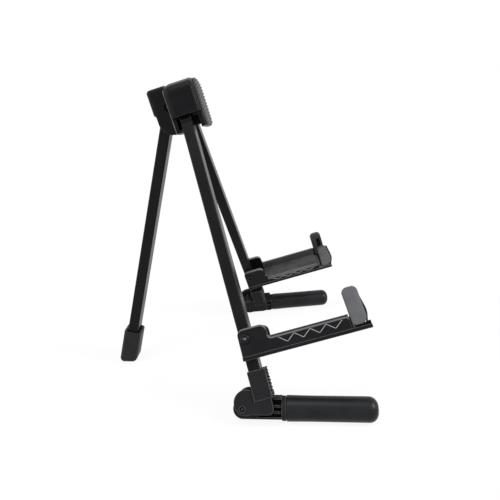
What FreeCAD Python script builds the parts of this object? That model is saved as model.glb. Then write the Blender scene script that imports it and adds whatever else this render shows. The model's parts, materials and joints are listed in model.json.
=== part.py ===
# Folding A-frame guitar stand: a leaning pair of front legs that splay in a moulded head, a rear strut,
# two fold-up cradle arms riveted to the front legs and two fold-away feet at their lower ends.
# Millimetres, +Z up, +X towards the toes, +Y to the stand's left, origin under the middle of the footprint.
import FreeCAD, Part
import math
import os

import Sketcher

DOC = FreeCAD.newDocument("guitar_stand")
VECTOR = FreeCAD.Vector

# Driving dimensions: name, value and what it measures. Lengths are in mm and angles in degrees.
DIMENSIONS = [
    ("lean_angle", 14.3, "front legs' plane, leaning back from upright"),
    ("splay_angle", 24.2, "each front leg, outwards in that plane"),
    ("rear_angle", 14.5, "rear leg, backwards from upright"),
    ("leg_reach", 290.0, "splay pivot to the height of the foot pin, along the leg"),
    ("pivot_spread", 18.2, "middle plane to each splay pivot"),
    ("foot_pin_back", 19.0, "foot pin behind the leg's axis"),
    ("arm_drop", 57.5, "arm's rivet down to the height of the foot pin, along the leg"),
    ("arm_sag", 0.9, "arm below square to its leg"),
    ("rear_pivot_back", 19.0, "rear leg's pin behind the splay pivots"),
    ("rear_pivot_up", 4.5, "rear leg's pin above the splay pivots"),
    ("tube_depth", 11.2, "all three tubes, front to back"),
    ("tube_width", 22.0, "all three tubes, side to side"),
    ("tube_wall", 1.4, "tube wall"),
    ("tube_corner", 1.6, "tube's outer corner radius"),
    ("pin_radius", 2.5, "splay, rear and foot pins"),
    ("pin_gap", 0.05, "radial clearance of a pin or rivet in its hole"),
    ("fit_gap", 0.05, "clearance of a fixed piece in its seat"),
    ("slide_gap", 0.4, "clearance between moving flanks"),
    ("hood_half_width", 38.0, "head's hood, middle plane to its side"),
    ("hood_top", 33.0, "head's top above the splay pivots"),
    ("roof_radius", 110.0, "head's arched roof, across"),
    ("hood_front", 17.5, "head's front face ahead of the splay pivots"),
    ("hood_back", 13.0, "seam of the two head shells behind the splay pivots"),
    ("hood_rim_drop", 2.4, "hood's side rim below the splay pivots"),
    ("skirt_drop", 17.5, "lower edge of the head's walls below the splay pivots"),
    ("skirt_half_width", 30.0, "head's walls below the rim, middle plane to their side"),
    ("hood_shoulder", 9.0, "radius of the hood's two shoulders"),
    ("hood_edge", 6.5, "radius of the hood's edges at the seam"),
    ("hood_front_edge", 4.5, "radius of the hood's front edges"),
    ("hood_wall", 3.5, "seam wall of the front shell"),
    ("front_wall", 4.5, "front wall of the front shell"),
    ("hood_roof", 16.0, "roof of the front shell"),
    ("boss_radius", 4.2, "bosses that carry the splay pins"),
    ("divider_half_width", 3.0, "rib between the two leg tops"),
    ("rear_shell_half_width", 24.0, "rear shell, middle plane to its side"),
    ("rear_shell_depth", 18.0, "rear shell behind the seam"),
    ("rear_shell_edge", 5.0, "radius of the rear shell's upright edges"),
    ("rear_shell_crown", 3.5, "radius of the rear shell's top back edge"),
    ("cheek_step_up", 6.7, "lower end of the rear wall above the splay pivots"),
    ("cheek_step", 2.4, "cheeks set in from the rear wall"),
    ("recess_radius", 5.0, "half-round recess at the seam, in each side of the rear shell"),
    ("recess_up", 9.5, "that recess above the splay pivots"),
    ("recess_depth", 3.0, "that recess into the side"),
    ("rear_stop_gap", 0.6, "rear leg to the edge that stops it"),
    ("pin_seat", 8.0, "rear pin's seat in each cheek"),
    ("head_pad_depth", 3.3, "leaning pad, front to back"),
    ("head_pad_half_width", 30.0, "leaning pad, middle plane to its side"),
    ("head_pad_drop", 1.5, "leaning pad's arched upper edge below the roof"),
    ("head_pad_corner", 9.0, "leaning pad's corner radius"),
    ("head_pad_edge", 2.8, "leaning pad's front edge radius"),
    ("screw_radius", 1.75, "shell screws"),
    ("screw_head_radius", 3.4, "shell screws' heads"),
    ("screw_head_height", 2.4, "shell screws' heads"),
    ("screw_recess", 3.0, "shell screws' heads below the rear wall"),
    ("screw_bite", 2.5, "shell screws into the seam wall"),
    ("screw_out", 17.5, "shell screws from the middle plane"),
    ("screw_up", 24.0, "upper shell screws above the splay pivots"),
    ("screw_down", 8.0, "lower shell screws below the splay pivots"),
    ("lower_screw_head", 8.0, "lower screws' head seats behind the seam"),
    ("lug_drop", 13.0, "splay pivot down to the tube's upper end"),
    ("plug_insert", 20.0, "top plugs' stem inside the tube"),
    ("socket_top", 29.0, "knuckle's socket above the foot pin"),
    ("socket_back_wall", 0.9, "knuckle's socket behind the tube"),
    ("socket_front_wall", 3.9, "knuckle's laddered wall before the tube"),
    ("socket_half_width", 14.2, "knuckle's socket, middle to side"),
    ("socket_floor", 2.4, "knuckle's floor under the tube"),
    ("ladder_windows", 7, "windows in the knuckle's laddered wall"),
    ("ladder_pitch", 3.1, "from one ladder window to the next"),
    ("ladder_window", 2.0, "height of a ladder window"),
    ("ladder_depth", 2.8, "depth of a ladder window"),
    ("ladder_half_width", 9.5, "ladder windows, middle to side"),
    ("cheek_half_width", 13.2, "knuckle's cheeks, middle to outer face"),
    ("cheek_gap", 9.8, "knuckle's cheeks, middle to inner face"),
    ("cheek_radius", 11.0, "round back of the knuckle's cheeks"),
    ("cheek_centre_ahead", 5.0, "that round's centre ahead of the foot pin"),
    ("cheek_centre_up", 4.6, "that round's centre above the foot pin"),
    ("cheek_sole", 4.4, "cheeks' lower edge under the foot pin"),
    ("cheek_toe", 28.6, "cheeks' front corner ahead of the foot pin"),
    ("cheek_toe_round", 5.0, "cheeks' front corner radius"),
    ("heel_radius", 8.8, "foot bar's round heel, and the bar's underside below the pin"),
    ("bar_top", 10.4, "foot bar's top above the pin"),
    ("bar_half_width", 9.0, "foot bar, middle to side"),
    ("bar_edge", 2.2, "foot bar's lower edges"),
    ("bar_top_edge", 0.8, "foot bar's upper edges"),
    ("bar_web", 2.6, "foot bar's middle web, half its thickness"),
    ("bar_flange", 2.0, "foot bar's upper and lower flanges"),
    ("bar_rib", 2.0, "foot bar's two long ribs"),
    ("bar_rib_up", 2.5, "those ribs above and below the pin"),
    ("bar_pocket_start", 13.0, "foot bar's pockets ahead of the pin"),
    ("bar_length", 34.2, "foot bar from the pin to its collar"),
    ("collar_length", 3.4, "foot bar's collar"),
    ("collar_radius", 10.8, "foot bar's collar"),
    ("sleeve_groove", 1.6, "gap between collar and sleeve"),
    ("spigot_radius", 7.4, "foot bar's spigot inside the sleeve"),
    ("spigot_length", 64.0, "foot bar's spigot from the collar"),
    ("sleeve_radius", 11.3, "foot sleeve"),
    ("sleeve_length", 78.2, "foot sleeve"),
    ("sleeve_nose", 8.0, "foot sleeve's rounded free end"),
    ("arm_half_width", 16.15, "arm channel, middle to side"),
    ("arm_wall", 2.5, "arm channel's side walls"),
    ("arm_base", 18.8, "arm channel's underside below the rivet"),
    ("arm_floor", 3.4, "arm channel's floor"),
    ("arm_length", 110.4, "rivet to the arm's front end"),
    ("arm_wall_end", 0.9, "front end of the side walls behind the stop's back"),
    ("arm_wall_slant", 0.4, "side walls' front ends, further forward at the floor"),
    ("outer_rim", 4.0, "outer wall's rim below the rivet"),
    ("inner_rim", 10.2, "inner wall's rim below the rivet"),
    ("rim_round", 3.6, "front end of the side walls"),
    ("rim_edge", 1.8, "rounded outer edge of the ears and the outer wall"),
    ("ear_back", 6.2, "ears behind the rivet"),
    ("ear_front", 20.5, "ears ahead of the rivet"),
    ("ear_top", 9.0, "ears above the rivet"),
    ("ear_round", 6.0, "ears' corner radius"),
    ("arm_lip", 0.5, "floor's edge standing out from the walls"),
    ("liner_wall", 1.9, "rubber liner"),
    ("liner_proud", 1.7, "liner's outer rim above the channel's rim"),
    ("liner_bead", 0.9, "height of the bead along the liner's outer rim"),
    ("liner_groove", 0.7, "depth of the groove under that bead"),
    ("liner_round", 0.4, "liner's upper edges"),
    ("liner_end", 0.7, "liner's front end behind the end of the side walls"),
    ("rivet_radius", 2.9, "arm rivet's shank"),
    ("rivet_bore", 1.5, "arm rivet's hollow"),
    ("rivet_head_radius", 4.6, "arm rivet's outer head"),
    ("rivet_head_height", 1.7, "arm rivet's outer head"),
    ("rivet_roll_radius", 3.7, "arm rivet's rolled inner end"),
    ("rivet_roll_height", 1.0, "arm rivet's rolled inner end"),
    ("rivet_rim", 0.6, "height of the rim of the arm rivet's ends"),
    ("stop_back", 16.2, "back of the stop pads behind the arm's front end"),
    ("stop_depth", 14.0, "stop pads along the arm"),
    ("stop_stagger", 3.4, "inner stop pad's back ahead of the outer one's"),
    ("stop_top", 20.4, "outer stop pad's top above the rivet"),
    ("inner_stop_drop", 3.0, "inner stop pad's top below the outer one's"),
    ("stop_foot", 1.8, "stop pads above the floor"),
    ("stop_lean", 3.0, "stop pads, leaning back from square to the arm"),
    ("stop_outer_face", 16.6, "stop pads, middle of the arm to their outer face"),
    ("stop_inner_gap", 0.1, "stop pads' inner face outside the line of the ears"),
    ("stop_round", 5.0, "stop pads' upper corners"),
    ("stop_toe_round", 6.5, "stop pads' lower front corner"),
    ("stop_heel_round", 3.4, "stop pads' lower back corner"),
    ("stop_edge", 1.4, "stop pads' outer edges"),
    ("stop_belly", 3.2, "swell of the inner stop pad's front and of the plate before it"),
    ("stop_belly_up", 10.5, "that swell above the pad's foot"),
    ("stop_belly_round", 20.0, "radius of that swell"),
    ("finger_ahead", 6.8, "yoke's finger from the back of the outer pad"),
    ("finger_gap", 0.3, "yoke's finger outside the line of the ears"),
    ("finger_depth", 4.4, "yoke's finger along the arm"),
    ("finger_top", 12.0, "yoke's finger above the rivet"),
    ("finger_out", 14.0, "yoke's finger, middle of the arm to its outer face"),
    ("yoke_plate", 1.35, "yoke's front plate"),
    ("plate_gap", 0.15, "yoke's front plate ahead of the inner stop pad"),
    ("yoke_top", 15.5, "yoke's inner front plate above the rivet"),
    ("yoke_half_width", 15.2, "yoke's inner front plate, middle to side"),
    ("yoke_bridge", 3.4, "yoke's bridge above the floor"),
    ("yoke_base", 2.7, "yoke's base on the floor"),
    ("boot_depth", 19.0, "rear boot, front to back"),
    ("boot_half_width", 13.4, "rear boot, middle to side"),
    ("boot_length", 36.0, "rear boot along the leg"),
    ("boot_corner", 4.5, "rear boot's upright edges"),
    ("boot_sole_round", 2.5, "rear boot's lower edges"),
    ("boot_sole", 7.0, "rear boot's sole under the tube"),
    ("boot_mouth", 4.0, "depth of the wider mouth round the tube"),
    ("boot_mouth_gap", 1.2, "wider mouth to the tube"),
]


class Size:
    """A number together with the sheet formula that gives it, so that one sum sets both."""

    def __init__(self, value, text):
        self.value = float(value)
        self.text = text

    def _join(self, other, sign, value):
        return Size(value, f"({self.text} {sign} {as_size(other).text})")

    def __add__(self, other):
        return self._join(other, "+", self.value + as_size(other).value)

    def __sub__(self, other):
        return self._join(other, "-", self.value - as_size(other).value)

    def __mul__(self, other):
        return self._join(other, "*", self.value * as_size(other).value)

    def __truediv__(self, other):
        return self._join(other, "/", self.value / as_size(other).value)

    def __radd__(self, other):
        return as_size(other) + self

    def __rsub__(self, other):
        return as_size(other) - self

    def __rmul__(self, other):
        return as_size(other) * self

    def __neg__(self):
        return as_size(0) - self


def as_size(number):
    return number if isinstance(number, Size) else Size(number, repr(number))


def sine(angle):
    return Size(math.sin(math.radians(angle.value)), f"sin({angle.text} * 1 deg)")


def cosine(angle):
    return Size(math.cos(math.radians(angle.value)), f"cos({angle.text} * 1 deg)")


def root(size):
    return Size(math.sqrt(size.value), f"sqrt({size.text})")


def fill_sheet():
    """Write the driving dimensions to the sheet, one row each, and return them as sizes."""
    sheet = DOC.addObject("Spreadsheet::Sheet", "Sizes")
    sizes = {}
    for row, (name, value, note) in enumerate(DIMENSIONS, start=1):
        sheet.set(f"A{row}", str(value))
        sheet.setAlias(f"A{row}", name)
        sheet.set(f"B{row}", note)
        sizes[name] = Size(value, f"Sizes.{name}")
    DOC.recompute()
    return sizes


D = fill_sheet()


def bind(target, name, size):
    """Set one size of an object and tie it to the sheet."""
    size = as_size(size)
    setattr(target, name, size.value)
    target.setExpression(name, size.text)


# Sketch and feature helpers. Sketch points are pairs of sizes, held by distances from the sketch's origin.

def new_sketch(body, name, plane, offset):
    sketch = body.newObject("Sketcher::SketchObject", name)
    support = [item for item in body.Origin.OriginFeatures if item.Role == plane][0]
    sketch.AttachmentSupport = (support, [""])
    sketch.MapMode = "FlatFace"
    offset = as_size(offset)
    sketch.AttachmentOffset = FreeCAD.Placement(VECTOR(0, 0, offset.value), FreeCAD.Rotation())
    sketch.setExpression("AttachmentOffset.Base.z", offset.text)
    return sketch


def hold(sketch, kind, first, size):
    """Add one driven distance or radius to a sketch and tie it to the sheet."""
    index = sketch.addConstraint(Sketcher.Constraint(kind, *first, size.value))
    sketch.setExpression(f"Constraints[{index}]", size.text)


def polygons(body, name, plane, outlines, offset=0):
    """Closed outlines, each a list of (across, up) sizes. A corner's third size makes its side an arc
    that runs counter-clockwise to the next corner, about a centre at that height."""
    sketch = new_sketch(body, name, plane, offset)
    for outline in outlines:
        corners = [[as_size(item) for item in corner] for corner in outline]
        flat = [VECTOR(corner[0].value, corner[1].value, 0) for corner in corners]
        first = sketch.GeometryCount
        count = len(corners)
        for index, corner in enumerate(corners):
            sketch.addGeometry(side_of(flat[index], flat[(index + 1) % count], corner), False)
        for index in range(count):
            following = first + (index + 1) % count
            sketch.addConstraint(Sketcher.Constraint("Coincident", first + index, 2, following, 1))
        for index, corner in enumerate(corners):
            hold(sketch, "DistanceX", (-1, 1, first + index, 1), corner[0])
            hold(sketch, "DistanceY", (-1, 1, first + index, 1), corner[1])
            if len(corner) == 3:
                hold(sketch, "DistanceY", (-1, 1, first + index, 3), corner[2])
    return sketch


def side_of(start, end, corner):
    """A straight side, or an arc where the corner gives the height of a centre."""
    if len(corner) == 2:
        return Part.LineSegment(start, end)
    centre = VECTOR((start.x + end.x) / 2, corner[2].value, 0)
    circle = Part.Circle(centre, VECTOR(0, 0, 1), start.distanceToPoint(centre))
    angles = [math.atan2(point.y - centre.y, point.x - centre.x) for point in (start, end)]
    return Part.ArcOfCircle(circle, *angles)


def rectangle(low_across, high_across, low_up, high_up):
    return [(low_across, low_up), (high_across, low_up), (high_across, high_up), (low_across, high_up)]


def circles(body, name, plane, centres, radius, offset=0):
    """Equal circles at (across, up) centres."""
    sketch = new_sketch(body, name, plane, offset)
    for across, up in centres:
        across, up = as_size(across), as_size(up)
        middle = VECTOR(across.value, up.value, 0)
        index = sketch.addGeometry(Part.Circle(middle, VECTOR(0, 0, 1), radius.value), False)
        hold(sketch, "Radius", (index,), radius)
        hold(sketch, "DistanceX", (-1, 1, index, 3), across)
        hold(sketch, "DistanceY", (-1, 1, index, 3), up)
    return sketch


def pad(sketch, length, both_ways=False, backwards=False):
    body = sketch.getParentGeoFeatureGroup()
    feature = body.newObject("PartDesign::Pad", sketch.Name + "_pad")
    feature.Profile = sketch
    feature.SideType = "Symmetric" if both_ways else "One side"
    feature.Reversed = backwards
    bind(feature, "Length", length)
    return feature


def pocket(sketch, length, both_ways=False, backwards=False):
    """Cut a sketch into its body, and stop the build if the cut takes nothing away."""
    body = sketch.getParentGeoFeatureGroup()
    DOC.recompute()
    before = body.Shape.Volume
    feature = body.newObject("PartDesign::Pocket", sketch.Name + "_cut")
    feature.Profile = sketch
    feature.SideType = "Symmetric" if both_ways else "One side"
    feature.Reversed = backwards
    bind(feature, "Length", length)
    DOC.recompute()
    if body.Shape.Volume > before - 1e-6:
        raise RuntimeError(f"{feature.Name} cuts nothing")
    return feature


def turn(sketch, axis):
    """A full revolution about one of the sketch's own axes."""
    body = sketch.getParentGeoFeatureGroup()
    feature = body.newObject("PartDesign::Revolution", sketch.Name + "_turn")
    feature.Profile = sketch
    feature.ReferenceAxis = (sketch, [axis])
    feature.Angle = 360
    return feature


def round_edges(body, name, radius, chosen):
    """Fillet the edges of the body so far for which chosen(edge) is true."""
    DOC.recompute()
    base = body.Tip
    names = [f"Edge{index}" for index, edge in enumerate(base.Shape.Edges, start=1) if chosen(edge)]
    if not names:
        raise RuntimeError(f"{name} finds no edges")
    feature = body.newObject("PartDesign::Fillet", name)
    feature.Base = (base, names)
    bind(feature, "Radius", radius)
    return feature


def along(axis, **places):
    """A test for straight edges along one axis that pass through the given places on the other axes."""
    def test(edge):
        if edge.Curve.TypeId != "Part::GeomLine":
            return False
        direction = edge.tangentAt(edge.FirstParameter)
        if abs(getattr(direction, axis)) < 1 - 1e-6:
            return False
        middle = edge.valueAt((edge.FirstParameter + edge.LastParameter) / 2)
        return all(abs(getattr(middle, key) - as_size(place).value) < 1e-4 for key, place in places.items())
    return test


def either(*tests):
    return lambda edge: any(test(edge) for test in tests)


def on_plane(axis, place):
    """A test for edges that lie wholly at one place on an axis."""
    low, high = axis.upper() + "Min", axis.upper() + "Max"

    def test(edge):
        box = edge.BoundBox
        place_value = as_size(place).value
        return abs(getattr(box, low) - place_value) < 1e-4 and abs(getattr(box, high) - place_value) < 1e-4
    return test


# Frames. The head's frame sits midway between the splay pivots and leans with the front legs.

def new_body(name):
    body = DOC.addObject("PartDesign::Body", name)
    body.Label = name
    return body


PIVOT_HEIGHT = D["sleeve_radius"] + D["leg_reach"] * cosine(D["lean_angle"]) * cosine(D["splay_angle"])
PIVOT_HEIGHT = PIVOT_HEIGHT + D["foot_pin_back"] * sine(D["lean_angle"])
SIDES = {"left": 1, "right": -1}
X_AXIS, Y_AXIS, Z_AXIS = VECTOR(1, 0, 0), VECTOR(0, 1, 0), VECTOR(0, 0, 1)


def frame(across=0.0, side=0.0, up=0.0, axis=Z_AXIS, angle=0.0):
    return FreeCAD.Placement(VECTOR(across, side, up), FreeCAD.Rotation(axis, angle))


def foot_tilt():
    """Angle of a level foot below square to its leg: tan = tan(lean) / cos(splay)."""
    lean, splay = math.radians(D["lean_angle"].value), math.radians(D["splay_angle"].value)
    angle = math.degrees(math.atan(math.tan(lean) / math.cos(splay)))
    text = f"(atan(tan({D['lean_angle'].text} * 1 deg) / cos({D['splay_angle'].text} * 1 deg)) / 1 deg)"
    return Size(angle, text)


FOOT_TILT = foot_tilt()
ARM_DROP = D["leg_reach"] - D["arm_drop"]
HEAD_FRAME = frame(up=PIVOT_HEIGHT.value, axis=Y_AXIS, angle=-D["lean_angle"].value)
LEG_FRAMES = {}
FOOT_FRAMES = {}
ARM_FRAMES = {}
for side_name, sign in SIDES.items():
    splayed = frame(side=sign * D["pivot_spread"].value, axis=X_AXIS, angle=sign * D["splay_angle"].value)
    LEG_FRAMES[side_name] = HEAD_FRAME.multiply(splayed)
    foot = frame(-D["foot_pin_back"].value, 0, -D["leg_reach"].value, Y_AXIS, FOOT_TILT.value)
    FOOT_FRAMES[side_name] = LEG_FRAMES[side_name].multiply(foot)
    arm = frame(up=-ARM_DROP.value, axis=Y_AXIS, angle=D["arm_sag"].value)
    ARM_FRAMES[side_name] = LEG_FRAMES[side_name].multiply(arm)
REAR_TURN = D["lean_angle"] + D["rear_angle"]
REAR_FRAME = HEAD_FRAME.multiply(
    frame(-D["rear_pivot_back"].value, 0, D["rear_pivot_up"].value, Y_AXIS, REAR_TURN.value))
REAR_HEIGHT = PIVOT_HEIGHT + D["rear_pivot_up"] * cosine(D["lean_angle"])
REAR_HEIGHT = REAR_HEIGHT - D["rear_pivot_back"] * sine(D["lean_angle"])
REAR_LENGTH = REAR_HEIGHT / cosine(D["rear_angle"])

PARTS = []


def keep(item, placement):
    """Put a finished sub-part in its frame and list it for writing."""
    item.Placement = placement
    PARTS.append(item)


# Head

HALF_DEPTH = D["tube_depth"] / 2
HALF_WIDTH = D["tube_width"] / 2
CAVITY_FRONT = D["hood_front"] - D["front_wall"]
CAVITY_BACK = D["hood_back"] - D["hood_wall"]
PIN_HOLE = D["pin_radius"] + D["pin_gap"]
PIN_SPOTS = [(D["pivot_spread"], 0), (-D["pivot_spread"], 0)]
PIN_END = CAVITY_FRONT + D["front_wall"] / 2


def stop_half_width():
    """Half width inside the hood's rim, where a leg's outer face meets the rim at full splay."""
    splay = D["splay_angle"]
    reach = HALF_WIDTH / cosine(splay) + D["hood_rim_drop"] * sine(splay) / cosine(splay)
    return D["pivot_spread"] + reach + D["slide_gap"]


ROOF_CENTRE = D["hood_top"] - D["roof_radius"]


def roof_height(out):
    """Height of the head's arched roof at one distance from the middle plane."""
    return ROOF_CENTRE + root(D["roof_radius"] * D["roof_radius"] - out * out)


def head_front_shell():
    """Hood over both leg tops: a front wall for the pad, a seam wall behind, and pin bosses inside."""
    body = new_body("head_front_shell")
    half, top, rim = D["hood_half_width"], D["hood_top"], -D["hood_rim_drop"]
    skirt, low = D["skirt_half_width"], -D["skirt_drop"]
    eave = roof_height(half)
    outline = [(-skirt, low), (skirt, low), (skirt, rim), (half, rim),
               (half, eave, ROOF_CENTRE), (-half, eave), (-half, rim), (-skirt, rim)]
    shell = polygons(body, "hood_outline", "YZ_Plane", [outline], -D["hood_back"])
    pad(shell, D["hood_front"] + D["hood_back"])
    round_edges(body, "hood_shoulders", D["hood_shoulder"],
                either(along("x", y=half, z=eave), along("x", y=-half, z=eave)))
    for name, place, radius in (("seam_edges", -D["hood_back"], D["hood_edge"]),
                                ("front_edges", D["hood_front"], D["hood_front_edge"])):
        outer = on_plane("x", place)
        round_edges(body, "hood_" + name, radius,
                    lambda edge: outer(edge) and edge.BoundBox.ZMin > rim.value - 1e-4
                    and edge.BoundBox.ZMax > rim.value + 1)
    inner = stop_half_width()
    room = rectangle(-CAVITY_BACK, CAVITY_FRONT, low - 1, top - D["hood_roof"])
    pocket(polygons(body, "leg_room", "XZ_Plane", [room]), 2 * inner, both_ways=True)
    boss_end = HALF_DEPTH + D["slide_gap"]
    pad(circles(body, "back_bosses", "YZ_Plane", PIN_SPOTS, D["boss_radius"], -CAVITY_BACK),
        CAVITY_BACK - boss_end)
    pad(circles(body, "front_bosses", "YZ_Plane", PIN_SPOTS, D["boss_radius"], boss_end),
        CAVITY_FRONT - boss_end)
    rib = rectangle(-CAVITY_BACK, CAVITY_FRONT, low + 4, top - D["hood_roof"])
    pad(polygons(body, "divider", "XZ_Plane", [rib]), 2 * D["divider_half_width"], both_ways=True)
    pocket(circles(body, "pin_holes", "YZ_Plane", PIN_SPOTS, PIN_HOLE, PIN_END), PIN_END + D["hood_back"] + 1)
    spots = [(y, z) for y, z in screw_spots()]
    pocket(circles(body, "screw_holes", "YZ_Plane", spots, D["screw_radius"] + D["fit_gap"],
                   -D["hood_back"] + D["screw_bite"]), D["screw_bite"] + 1)
    keep(body, HEAD_FRAME)


def screw_spots():
    out = D["screw_out"]
    return [(sign * out, up) for up in (D["screw_up"], -D["screw_down"]) for sign in (1, -1)]


def head_rear_shell():
    """Rear half of the head: two cheeks with a slot for the rear leg and an open-fronted seat for its pin."""
    body = new_body("head_rear_shell")
    seam, back = -D["hood_back"], -D["hood_back"] - D["rear_shell_depth"]
    half, top, low = D["rear_shell_half_width"], D["hood_top"], -D["skirt_drop"]
    step = D["cheek_step_up"]
    profile = [(seam, low), (seam, top), (back, top), (back, step),
               (back + D["cheek_step"], step - D["cheek_step"]), (back + D["cheek_step"], low)]
    pad(polygons(body, "rear_profile", "XZ_Plane", [profile]), 2 * half, both_ways=True)
    swing = step - low - 2 * D["cheek_step"]
    heel = D["rear_shell_depth"] - D["cheek_step"] - 0.5
    reach = min((heel, swing), key=lambda size: size.value)
    round_edges(body, "cheek_rounds", reach, along("y", x=back + D["cheek_step"], z=low))
    wide = half + 1
    above = [(wide, roof_height(wide), ROOF_CENTRE), (-wide, roof_height(wide)), (-wide, top + 1), (wide, top + 1)]
    pocket(polygons(body, "rear_roof", "YZ_Plane", [above], seam + 1), D["rear_shell_depth"] + 2)
    round_edges(body, "rear_edges", D["rear_shell_edge"],
                lambda edge: either(along("z", x=back, y=half), along("z", x=back, y=-half))(edge)
                and edge.BoundBox.ZMin > step.value - 1e-3)
    eave = roof_height(half).value
    round_edges(body, "rear_crown", D["rear_shell_crown"],
                lambda edge: edge.BoundBox.ZMin > eave - 0.01 and edge.BoundBox.XMin < seam.value - 1e-3)
    pivot_x, pivot_z = -D["rear_pivot_back"], D["rear_pivot_up"]
    room = HALF_DEPTH + D["rear_stop_gap"]
    turn_out = REAR_TURN
    stop_x = pivot_x - room / cosine(turn_out) + (step - pivot_z) * sine(turn_out) / cosine(turn_out)
    roof = pivot_z + room + 2
    slot = [(seam + 1, low - 1), (seam + 1, roof), (stop_x, roof), (stop_x, step),
            (back - 1, step), (back - 1, low - 1)]
    pocket(polygons(body, "leg_slot", "XZ_Plane", [slot]), D["tube_width"] + 2 * D["slide_gap"], both_ways=True)
    seat_width = D["tube_width"] + 2 * D["slide_gap"] + 2 * D["pin_seat"]
    pocket(circles(body, "pin_seat", "XZ_Plane", [(pivot_x, pivot_z)], PIN_HOLE), seat_width, both_ways=True)
    groove = rectangle(pivot_x, seam + 1, pivot_z - PIN_HOLE, pivot_z + PIN_HOLE)
    pocket(polygons(body, "pin_groove", "XZ_Plane", [groove]), seat_width, both_ways=True)
    pocket(circles(body, "screw_ways", "YZ_Plane", screw_spots(), D["screw_radius"] + D["fit_gap"], seam + 1),
           D["rear_shell_depth"] + 2)
    spots = screw_spots()
    upper = circles(body, "upper_screw_seats", "YZ_Plane", spots[:2], D["screw_head_radius"] + D["fit_gap"],
                    back - 1)
    pocket(upper, D["screw_recess"] + D["screw_head_height"] + 1, backwards=True)
    lower = circles(body, "lower_screw_seats", "YZ_Plane", spots[2:], D["screw_head_radius"] + D["fit_gap"],
                    back - 1)
    pocket(lower, D["rear_shell_depth"] - D["lower_screw_head"] + 1, backwards=True)
    for flank, way in SIDES.items():
        recess = circles(body, f"{flank}_recess", "XZ_Plane", [(seam, D["recess_up"])], D["recess_radius"],
                         -way * (half + 1))
        pocket(recess, D["recess_depth"] + 1, backwards=way > 0)
    keep(body, HEAD_FRAME)


def head_pad():
    """Rubber pad on the head's front, where the instrument's back leans."""
    body = new_body("head_pad")
    half, front = D["head_pad_half_width"], D["hood_front"] + D["head_pad_depth"]
    low, top = -D["skirt_drop"], roof_height(half) - D["head_pad_drop"]
    outline = [(-half, low), (half, low), (half, top, ROOF_CENTRE - D["head_pad_drop"]), (-half, top)]
    pad(polygons(body, "pad_outline", "YZ_Plane", [outline], D["hood_front"]), D["head_pad_depth"])
    corners = either(*[along("x", y=y, z=z) for y in (half, -half) for z in (low, top)])
    round_edges(body, "pad_corners", D["head_pad_corner"], corners)
    round_edges(body, "pad_edges", D["head_pad_edge"], on_plane("x", front))
    keep(body, HEAD_FRAME)


def splay_pin(side_name, sign):
    """Steel pin along the fold axis of one front leg, held in both walls of the front shell."""
    pin = DOC.addObject("Part::Cylinder", f"{side_name}_splay_pin")
    pin.Label = pin.Name
    bind(pin, "Radius", D["pin_radius"])
    bind(pin, "Height", PIN_END + D["hood_back"])
    place = frame(-D["hood_back"].value, sign * D["pivot_spread"].value, 0, Y_AXIS, 90)
    keep(pin, HEAD_FRAME.multiply(place))


def rear_leg_pin():
    """Steel pin across the rear shell, on which the rear leg swings."""
    pin = DOC.addObject("Part::Cylinder", "rear_leg_pin")
    pin.Label = pin.Name
    length = D["tube_width"] + 2 * D["slide_gap"] + 2 * D["pin_seat"] - D["fit_gap"]
    bind(pin, "Radius", D["pin_radius"])
    bind(pin, "Height", length)
    place = frame(-D["rear_pivot_back"].value, length.value / 2, D["rear_pivot_up"].value, X_AXIS, 90)
    keep(pin, HEAD_FRAME.multiply(place))


def head_screws():
    """Four screws that draw the rear shell onto the front shell."""
    screws = []
    back = D["hood_back"] + D["rear_shell_depth"]
    upper_seat = back - D["screw_recess"] - D["screw_head_height"]
    for index, (out, up) in enumerate(screw_spots()):
        seat = upper_seat if index < 2 else D["hood_back"] + D["lower_screw_head"]
        cap = DOC.addObject("Part::Cylinder", f"screw_cap_{index}")
        bind(cap, "Radius", D["screw_head_radius"])
        bind(cap, "Height", D["screw_head_height"])
        shank = DOC.addObject("Part::Cylinder", f"screw_shank_{index}")
        bind(shank, "Radius", D["screw_radius"])
        bind(shank, "Height", D["screw_head_height"] + seat - D["hood_back"] + D["screw_bite"])
        screw = DOC.addObject("Part::Fuse", f"screw_{index}")
        screw.Base, screw.Tool = cap, shank
        screw.Placement = frame(-seat.value - D["screw_head_height"].value, out.value, as_size(up).value, Y_AXIS, 90)
        screws.append(screw)
    group = DOC.addObject("Part::Compound", "head_screws")
    group.Label = group.Name
    group.Links = screws
    keep(group, HEAD_FRAME)


# Front legs

SOCKET_TOP = -D["leg_reach"] + D["socket_top"]
SOCKET_BACK = -HALF_DEPTH - D["socket_back_wall"]
SOCKET_FRONT = HALF_DEPTH + D["socket_front_wall"]


def foot_point(ahead, up):
    """A point given along and above the foot's own axis from its pin, in the leg's frame."""
    across = -D["foot_pin_back"] + ahead * cosine(FOOT_TILT) + up * sine(FOOT_TILT)
    return across, -D["leg_reach"] - ahead * sine(FOOT_TILT) + up * cosine(FOOT_TILT)


def bar_ceiling(across):
    """Height in the leg's frame of the face that the foot bar rests against, at one place across the leg."""
    lift = D["bar_top"] + D["slide_gap"]
    ahead = (across + D["foot_pin_back"] - lift * sine(FOOT_TILT)) / cosine(FOOT_TILT)
    return foot_point(ahead, lift)[1]


TUBE_FOOT = bar_ceiling(-HALF_DEPTH) + D["socket_floor"]


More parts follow.
